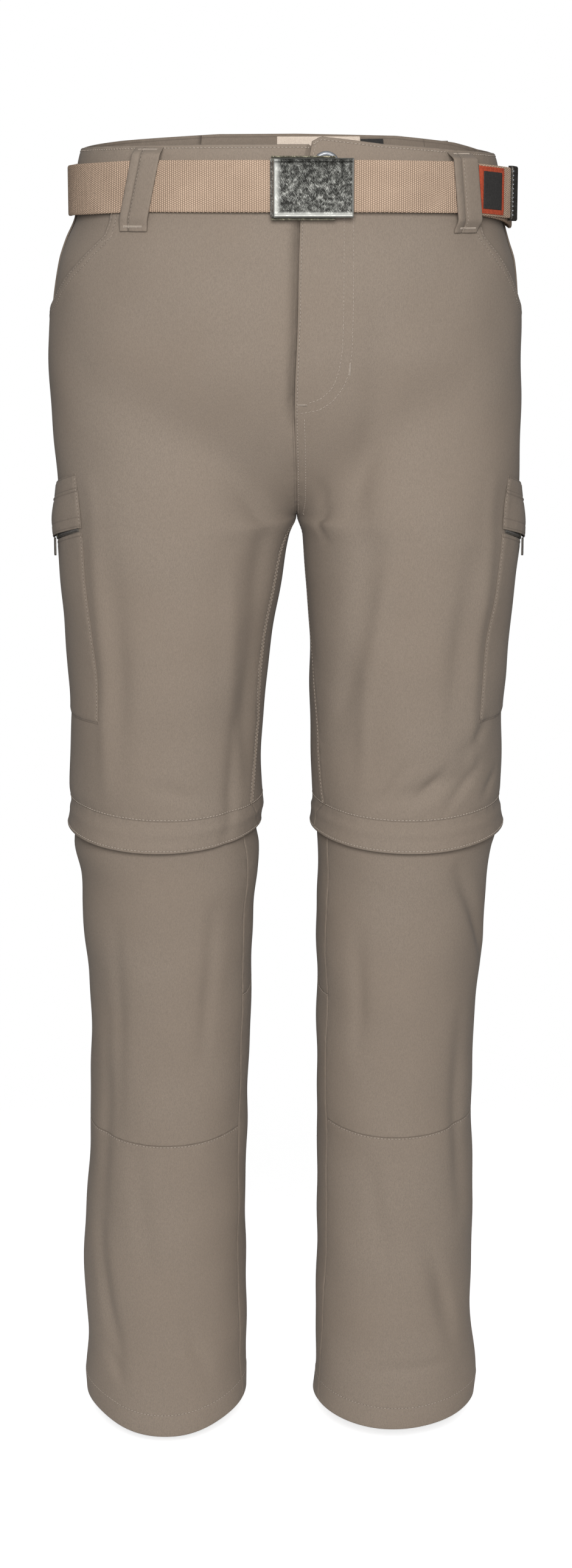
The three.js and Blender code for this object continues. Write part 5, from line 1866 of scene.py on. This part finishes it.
@dataclass
class Waistband:
    """The band in three pieces, with the tape and label inside its back."""

    rim_row: float = 2.5
    low_row: float = 2.0
    seam_gap: float = 0.06
    under_x: float = 44.0
    step_share: float = 22 / 25
    under_share: float = 23 / 25

    def rim(self, heading: Array) -> Array:
        """Height of the rim."""
        return FORM.waist_line("rim", heading)

    def strip(self, start: Line, end: Line, low: Line, high: Line) -> Place:
        """A strip of the band.

        Args:
            start: Heading of its start at each height.
            end: Heading of its end at each height.
            low: Height of its lower edge at each heading.
            high: Height of its upper edge at each heading.

        Returns:
            The function that places its points.
        """

        def place(c: Array, r: Array, out: Array) -> Array:
            """Points of the strip."""
            zero = np.zeros(np.shape(c))
            middle = mix(start(zero), end(zero), c)
            z = mix(low(middle), high(middle), r)
            return FORM.waist(mix(start(z), end(z), c), z, out)

        return place

    def right_front(self, start: float) -> Place:
        """The wearer's right front, which steps in to pass under the left.

        Args:
            start: Heading of its seam at the back.

        Returns:
            The function that places its points.
        """
        end = float(FORM.heading_at(self.under_x, 0))

        def place(c: Array, r: Array, out: Array) -> Array:
            """Points of the right front."""
            step_left = FORM.heading_at(mix(-2.5, 7.5, r), 0.0)
            step_right = FORM.heading_at(mix(1.0, 11.0, r), 0.0)
            under = smooth((c - self.step_share) / (self.under_share - self.step_share))
            level = mix(start, step_left, np.minimum(1.0, c / self.step_share))
            beyond = mix(step_right, end, np.maximum(0.0, c - self.under_share) / (1 - self.under_share))
            heading = np.where(c <= self.step_share, level, beyond)
            heading = np.where((under > 0) & (under < 1), mix(step_left, step_right, under), heading)
            top = np.where(under > 0.5, self.rim(0.0) - 1, self.rim(np.minimum(heading, 0.0)))
            z = mix(band_low(heading), top, r)
            return FORM.waist(heading, z, out - under * (BAND_CLOTH + 0.8))

        return place

    def build(self, wardrobe: Wardrobe) -> None:
        """Makes the pieces.

        Args:
            wardrobe: The finishes.
        """
        back_r = float(FORM.heading_at(-84, 20, True))
        back_l = float(FORM.heading_at(112, 20, True))
        seams = {Edge.HIGH: Seam((self.rim_row,), roll=0.8), Edge.LOW: Seam((self.low_row,))}
        lap = lambda z: FORM.heading_at(mix(2.0, 12.0, (z + 16) / 52), z)
        cols = np.concatenate([
            np.linspace(0, self.step_share, 100),
            [0.885, 0.89, 0.9, 0.91, 0.915],
            np.linspace(self.under_share, 1, 14),
        ])
        pieces = (
            ("waistband_front_r", self.right_front(back_r + self.seam_gap), cols, seams),
            (
                "waistband_front_l",
                self.strip(lap, steady(back_l - self.seam_gap), band_low, self.rim),
                None,
                {**seams, Edge.LEFT: Seam((3.0,), roll=0.8)},
            ),
            (
                "waistband_back",
                self.strip(
                    steady(back_l + self.seam_gap), steady(360 + back_r - self.seam_gap), band_low, self.rim
                ),
                None,
                seams,
            ),
        )
        for name, place, places, edges in pieces:
            shell = Shell(place, edges, thick=BAND_CLOTH, cols=places, pitch=3.2)
            sewing = Sewing()
            for edge, seam in edges.items():
                for row in seam.rows:
                    sewing.run(shell.line(edge, row), HEAVY_STITCH if edge is Edge.HIGH else TOPSTITCH)
            wardrobe.cut(shell, name, "cloth", "cloth", sewing)
        self.build_inside(wardrobe)

    def build_inside(self, wardrobe: Wardrobe) -> None:
        """Makes the plain tape and the plain label inside the back.

        Args:
            wardrobe: The finishes.
        """
        inside = -(BAND_CLOTH + 0.8)
        tape_end = float(FORM.heading_at(56, 30, True))
        tape_start = 360 + float(FORM.heading_at(-17, 30, True))
        label_end = float(FORM.heading_at(76, 30, True))
        tape = Shell(
            self.strip(steady(tape_end + 0.1), steady(tape_start), steady(20), steady(39.5)),
            out=inside,
            thick=0.7,
            pitch=3.0,
        )
        wardrobe.cut(tape, "inside_tape", "tape", "label_tape")
        label = Shell(
            self.strip(steady(label_end), steady(tape_end - 0.1), steady(14), steady(37.5)),
            out=inside,
            thick=0.8,
            pitch=3.0,
        )
        wardrobe.cut(label, "inside_label", "inset", "inset")


@dataclass
class BeltLoop:
    """One folded loop over the belt, with its groove, two rows and bartacks."""

    node: str
    x_top: float
    x_low: float
    back: bool
    clearance: float
    width: float = 18.5
    groove: float = 7.6
    row: float = 9.2

    def place(self, c: Array, r: Array, out: Array) -> Array:
        """Points of the loop.

        Args:
            c: Shares of the width.
            r: Shares of the height.
            out: Distances out.

        Returns:
            Points in millimetres.
        """
        heading = FORM.heading_at((self.x_top + self.x_low) / 2, 0, self.back)
        top = FORM.waist_line("rim", heading) - 1.5
        low = FORM.waist_line("belt", heading) - WEBBING_WIDTH / 2 - 15
        stand = FORM.waist_line("stand", heading) + self.clearance
        z = mix(low, top, r)
        x = mix(self.x_low, self.x_top, r) + mix(-self.width / 2, self.width / 2, c)
        rise = smooth(np.minimum((top - z) / 6, (z - low) / 11))[..., None]
        seated = FORM.waist(FORM.heading_at(x, z, self.back), z, 0.8 + out)
        standing = FORM.belt_point(FORM.heading_at(x, BELT_SEAT_Z, self.back), z, stand + out)
        return mix(seated, standing, rise)

    def build(self, wardrobe: Wardrobe) -> None:
        """Makes the loop.

        Args:
            wardrobe: The finishes.
        """
        shell = Shell(
            self.place,
            {Edge.LEFT: Seam((self.groove, self.row), roll=0.6), Edge.RIGHT: Seam(roll=0.6)},
            out=CLOTH,
            extra=lambda distance, points: -1.1 * hill(distance[Edge.LEFT] - self.groove, 0.7),
            pitch=2.0,
        )
        sewing = Sewing()
        sewing.run(shell.line(Edge.LEFT, self.row), LIGHT_STITCH, 3.0)
        for edge, distance in ((Edge.LOW, 3.8), (Edge.HIGH, 2.4)):
            sewing.run(shell.line(edge, distance), BARTACK, 4.0)
        wardrobe.cut(shell, self.node, "cloth", "cloth", sewing)


@dataclass
class Belt:
    """Webbing round the waist, its free end with the patch, and the metal tip."""

    buckle_x: float = -20.0
    leave: float = 54.0
    free: float = 50.0
    curl: float = 16.0
    share: float = 0.74
    tip_teeth: int = 11
    tail_end: float = 0.953
    patch_span: tuple[float, float] = (0.719, 0.887)
    patch_half: float = 18.4
    patch_row: float = 1.7
    inset_span: tuple[float, float] = (0.744, 0.864)
    inset_half: float = 14.6
    tip_span: tuple[float, float] = (0.96, 1.008)
    tip_over: float = 1.6

    def outer_stand(self, heading: Array) -> Array:
        """Stand-off of the layer that runs through the buckle and over the other."""
        return mix(3.4, WEBBING + 1.8, smooth((heading - 3) / 5))

    def tail(self, start: float, end: float, half: float) -> Place:
        """A stretch of the outer layer.

        Args:
            start: Share of the way at which it starts.
            end: Share at which it ends.
            half: Half of its width.

        Returns:
            The function that places its points.
        """
        first = float(FORM.heading_at(self.buckle_x, BELT_SEAT_Z))
        stand = float(self.outer_stand(np.array(self.leave)))
        origin = FORM.belt_point(np.array(self.leave), 0.0, stand)
        before = FORM.belt_point(np.array(self.leave - 1), 0.0, stand)
        base = math.atan2(origin[1] - before[1], origin[0] - before[0])
        bend = math.radians(self.curl)

        def place(c: Array, r: Array, out: Array) -> Array:
            """Points of the stretch."""
            t = mix(start, end, c)
            heading = mix(first, self.leave, np.minimum(1.0, t / self.share))
            around = FORM.belt_point(heading, 0.0, self.outer_stand(heading) + out)
            s = np.maximum(0.0, t - self.share) / (1 - self.share)
            angle = base + bend * s * 0.5
            facing = base + bend * s - math.pi / 2
            away = np.stack(
                [
                    origin[0] + np.cos(angle) * self.free * s + np.cos(facing) * out,
                    origin[1] + np.sin(angle) * self.free * s + np.sin(facing) * out,
                    np.zeros_like(s),
                ],
                axis=-1,
            )
            point = np.where((t <= self.share)[..., None], around, away)
            level = mix(FORM.waist_line("belt", heading), -8.0, s)
            point[..., 2] = level + mix(-half, half, r)
            return point

        return place

    def build(self, wardrobe: Wardrobe) -> None:
        """Makes the pieces.

        Args:
            wardrobe: The finishes.
        """
        half = WEBBING_WIDTH / 2
        start = float(FORM.heading_at(34, BELT_SEAT_Z))
        end = 360 + float(FORM.heading_at(self.buckle_x - 0.4, BELT_SEAT_Z))
        selvedge = Seam(roll=0.75)

        def round_waist(c: Array, r: Array, out: Array) -> Array:
            """Points of the layer round the waist."""
            heading = mix(start, end, c)
            z = FORM.waist_line("belt", heading) + mix(-half, half, r)
            return FORM.belt_point(heading, z, FORM.waist_line("stand", heading) + out)

        edges = {Edge.LOW: selvedge, Edge.HIGH: selvedge}
        base = Shell(round_waist, edges, WEBBING, WEBBING, pitch=3.2)
        tail = Shell(self.tail(0, self.tail_end, half), edges, WEBBING, WEBBING, pitch=3.2)
        patch = Shell(
            self.tail(*self.patch_span, self.patch_half),
            dict.fromkeys(Edge, Seam((self.patch_row,), roll=0.3)),
            WEBBING + 1.1,
            0.8,
            pitch=2.0,
        )
        inset = Shell(
            self.tail(*self.inset_span, self.inset_half),
            dict.fromkeys(Edge, Seam(roll=0.2)),
            WEBBING + 1.9,
            0.5,
            pitch=2.0,
        )
        tip = Shell(
            self.tail(*self.tip_span, half + self.tip_over),
            dict.fromkeys(Edge, Seam(roll=1.1)),
            WEBBING + 1.1,
            WEBBING + 2.2,
            pitch=1.6,
        )
        tail_obj = wardrobe.dress(tail.build("belt_free_end"), "webbing", "webbing", "belt_tail")
        patch_obj = wardrobe.dress(patch.build("belt_patch_leather"), "patch", "patch", "belt_patch")
        sewing = Sewing()
        for edge in Edge:
            sewing.run(patch.line(edge, self.patch_row), PATCH_STITCH, 1.2)
        patch_sewing = wardrobe.dress(sewing.build("sewing_belt_patch"), "patch", "patch")
        inset_obj = wardrobe.dress(inset.build("belt_patch_dark"), "inset", "inset", "belt_patch_inset")
        tip_obj = wardrobe.dress(tip.build("belt_end_tip"), "gunmetal", "gunmetal", "belt_tip")
        teeth = Sewing()
        pitch = (WEBBING_WIDTH - 2) / self.tip_teeth
        teeth.run(tip.line(Edge.LEFT, 0.7), Thread(1.5, pitch, 0.9, 0.5, 0.0, True), 1.5)
        teeth_obj = wardrobe.dress(teeth.build("belt_tip_teeth"), "steel", "gunmetal")
        base_obj = wardrobe.dress(base.build("belt_webbing"), "webbing", "webbing", "belt_base")


@dataclass
class Buckle:
    """Clamp buckle: dished plate with rounded rims under a painted highlight, on its channel and hinge bar."""

    left: float = -18.8
    right: float = 43.8
    low: float = -26.2
    high: float = 19.5
    back: float = -127.2
    thick: float = 2.4
    rim: float = 0.9
    rim_inset: float = 1.7
    corner: float = 1.6

    def place(self, c: Array, r: Array, out: Array) -> Array:
        """Points of the plate.

        Args:
            c: Shares of the width.
            r: Shares of the height.
            out: Distances out.

        Returns:
            Points in millimetres.
        """
        x = mix(self.left, self.right, c)
        z = mix(self.low, self.high, r)
        return np.stack([x, self.back - out, z], axis=-1)

    def face(self, c: Array, r: Array) -> Array:
        """Height of the plate's face: rounded rims at the long edges and a slight dish.

        Args:
            c: Shares of the width.
            r: Shares of the height.

        Returns:
            Heights in millimetres.
        """
        height = self.high - self.low
        edge = np.minimum(r, 1 - r) * height
        bump = self.rim * hill(edge - self.rim_inset, 1.25)
        drop = self.thick * 0.5 * np.clip(1 - edge / 1.3, 0.0, 1.0) ** 2
        dish = 0.35 * smooth((edge - 4) / 14)
        return self.thick + bump - drop - dish

    def build(self, wardrobe: Wardrobe) -> None:
        """Makes the plate and finishes the solids that stay.

        Args:
            wardrobe: The finishes.
        """
        rows = {Edge.LOW: Seam((3.4, 5.2), roll=0.0, dip=0.0), Edge.HIGH: Seam((3.4, 5.2), roll=0.0, dip=0.0)}
        ends = {Edge.LEFT: Seam(roll=0.6), Edge.RIGHT: Seam(roll=0.6)}
        plate = Shell(self.place, {**rows, **ends}, self.face, 0.0, pitch=2.2)
        flat_back = plate.outer.copy()
        flat_back[..., 1] = self.back
        plate.inner = flat_back
        wardrobe.dress(plate.build("buckle_front"), "pewter", "pewter", "buckle_plate")
        wardrobe.keep("buckle_frame", "plated")
        wardrobe.keep("buckle_hinge_bar", "gunmetal")
        LOG.info("buckle")


@dataclass
class TackButton:
    """Tack button on the waistband: a domed ring with a sunk middle."""

    x: float = 22.3
    z: float = 14.4
    segments: int = 48

    def build(self, wardrobe: Wardrobe) -> None:
        """Makes the button.

        Args:
            wardrobe: The finishes.
        """
        profile = Profile(("radius", "out"), (
            (0, 0.01, 0),
            (1, 9.2, 0),
            (2, 10.4, 0.7),
            (3, 10.2, 2.0),
            (4, 8.6, 2.9),
            (5, 6.6, 2.3),
            (6, 5.6, 1.3),
            (7, 3.0, 1.5),
            (8, 0.01, 1.6),
        ))
        steps = np.linspace(0, 8, 33)
        radius = np.maximum(0.01, profile.curve("radius", steps))
        height = np.maximum(0.0, profile.curve("out", steps))
        angle = np.linspace(0, 2 * math.pi, self.segments, endpoint=False)
        heading = FORM.heading_at(self.x, 14.0)
        seat = FORM.waist(heading, self.z, 0.75)
        out = unit(FORM.waist(heading, self.z, 5.0) - seat)
        across = unit(np.cross([0.0, 0.0, 1.0], out))
        up = np.cross(out, across)
        spokes = np.cos(angle)[:, None] * across + np.sin(angle)[:, None] * up
        points = seat + radius[:, None, None] * spokes[None] + height[:, None, None] * out
        rows, cols = points.shape[:2]
        index = np.arange(rows * cols).reshape(rows, cols)
        wrapped = np.concatenate([index, index[:, :1]], axis=1)
        quad = (wrapped[:-1, :-1], wrapped[:-1, 1:], wrapped[1:, 1:], wrapped[1:, :-1])
        faces = np.stack([q.ravel() for q in quad], axis=1)
        obj = make_mesh("button_tack", points.reshape(-1, 3), faces)
        wardrobe.dress(obj, "steel", "steel", "tack_button")
        LOG.info("tack button")


@dataclass
class Studio:
    """Camera, soft lights and a plain pale floor."""

    camera_x: float = -0.009
    camera_y: float = -2.3
    pitch: float = 12.4
    focal_px: float = 4486.0
    image_height: float = 2576.0
    sensor: float = 36.0
    floor_z: float = -1.092
    floor_size: float = 16.0
    ambient: float = 0.2
    key_power: float = 67.0
    key_size: float = 1.15
    top_power: float = 5.0
    floor_glow: float = 0.7
    back_power: float = 5.0
    floor_clear: float = 0.35
    floor_fade: float = 0.95

    def build(self) -> None:
        """Makes the camera, the lights, the floor and the world."""
        data = bpy.data.cameras.new("studio camera")
        data.sensor_width = self.sensor
        data.lens = self.focal_px / self.image_height * self.sensor
        camera = bpy.data.objects.new("studio camera", data)
        camera.location = (self.camera_x, self.camera_y, 0.0)
        camera.rotation_euler = (math.radians(90 - self.pitch), 0.0, 0.0)
        bpy.context.scene.collection.objects.link(camera)
        bpy.context.scene.camera = camera
        self.light("key softbox", (0.02, -2.5, 0.5), (0.0, 0.0, -0.3), self.key_power, self.key_size)
        self.light("top softbox", (0.0, -0.6, 2.2), (0.0, 0.0, 0.0), self.top_power, 1.6)
        self.light("back softbox", (0.0, 3.0, 0.5), (0.0, 0.0, -0.4), self.back_power, 1.0)
        self.make_floor()
        self.make_world()
        bpy.context.scene.view_settings.view_transform = "Standard"

    def make_world(self) -> None:
        """Makes a white backdrop with a softer light of its own on the object."""
        world = bpy.data.worlds.new("studio")
        world.use_nodes = True
        bench = Bench(world.node_tree)
        ambient = world.node_tree.nodes["Background"]
        ambient.inputs["Color"].default_value = (1.0, 1.0, 1.0, 1.0)
        ambient.inputs["Strength"].default_value = self.ambient
        backdrop = bench.node("ShaderNodeBackground", {"Color": (1.0, 1.0, 1.0, 1.0), "Strength": 1.0})
        seen = bench.node("ShaderNodeLightPath").outputs["Is Camera Ray"]
        both = bench.node("ShaderNodeMixShader", {0: seen, 1: ambient.outputs[0], 2: backdrop.outputs[0]})
        bench.feed(world.node_tree.nodes["World Output"].inputs["Surface"], both.outputs[0])
        bpy.context.scene.world = world

    @staticmethod
    def light(name: str, place: Colour, aim: Colour, power: float, size: float) -> None:
        """Makes one square soft light.

        Args:
            name: Name of the light.
            place: Where it stands, in metres.
            aim: What it points at.
            power: Watts.
            size: Side length.
        """
        data = bpy.data.lights.new(name, "AREA")
        data.energy = power
        data.size = size
        lamp = bpy.data.objects.new(name, data)
        lamp.location = place
        lamp.rotation_euler = (Vector(aim) - Vector(place)).to_track_quat("-Z", "Y").to_euler()
        bpy.context.scene.collection.objects.link(lamp)

    def make_floor(self) -> None:
        """Makes the plain pale floor."""
        half = self.floor_size / 2
        mesh = bpy.data.meshes.new("studio_floor")
        corners = [(-half, -half), (half, -half), (half, half), (-half, half)]
        mesh.from_pydata([(x, y, 0.0) for x, y in corners], [], [(0, 1, 2, 3)])
        floor = bpy.data.objects.new("studio_floor", mesh)
        floor.location = (0.0, 0.0, self.floor_z)
        bpy.context.scene.collection.objects.link(floor)
        material = bpy.data.materials.new("pale floor")
        material.use_nodes = True
        bench = Bench(material.node_tree)
        shader = material.node_tree.nodes["Principled BSDF"]
        tone = bench.noise(bench.place(), 3.0)
        base = bench.blend(tone, (0.93, 0.93, 0.93, 1), (0.96, 0.96, 0.96, 1))
        bench.feed(shader.inputs["Base Color"], base)
        away = bench.node("ShaderNodeVectorMath", {0: bench.place()}, operation="LENGTH").outputs["Value"]
        bench.feed(shader.inputs["Alpha"], bench.ramp(away, self.floor_fade, self.floor_clear))
        shader.inputs["Roughness"].default_value = 0.95
        shader.inputs["Emission Color"].default_value = (1.0, 1.0, 1.0, 1.0)
        seen = bench.node("ShaderNodeLightPath").outputs["Is Camera Ray"]
        bench.feed(shader.inputs["Emission Strength"], bench.math("MULTIPLY", seen, self.floor_glow))
        shader.inputs["Specular IOR Level"].default_value = 0.1
        mesh.materials.append(material)


def main() -> None:
    """Builds the studio and every piece in order."""
    logging.basicConfig(level=logging.INFO, format="%(name)s %(message)s")
    Studio().build()
    wardrobe = Wardrobe()
    assemblies: list = []
    for side in Side:
        assemblies += [UpperLeg(side), ThighPocket(side), Knee(side), LowerLeg(side)]
    assemblies += [Fly(), Waistband(), Belt(), Buckle(), TackButton()]
    for loop in (
        ("belt_loop_front_r", -115.8, -129.5, False, WEBBING + 0.8, 22.0),
        ("belt_loop_front_l", 127.3, 133.0, False, 2 * WEBBING + 1.9),
        ("belt_loop_back", 34, 34, True, WEBBING + 0.8),
        ("belt_loop_side_r", -112, -112, True, WEBBING + 0.8),
        ("belt_loop_side_l", 118, 118, True, WEBBING + 0.8),
    ):
        assemblies.append(BeltLoop(*loop))
    for assembly in assemblies:
        assembly.build(wardrobe)


if __name__ == "__main__":
    main()
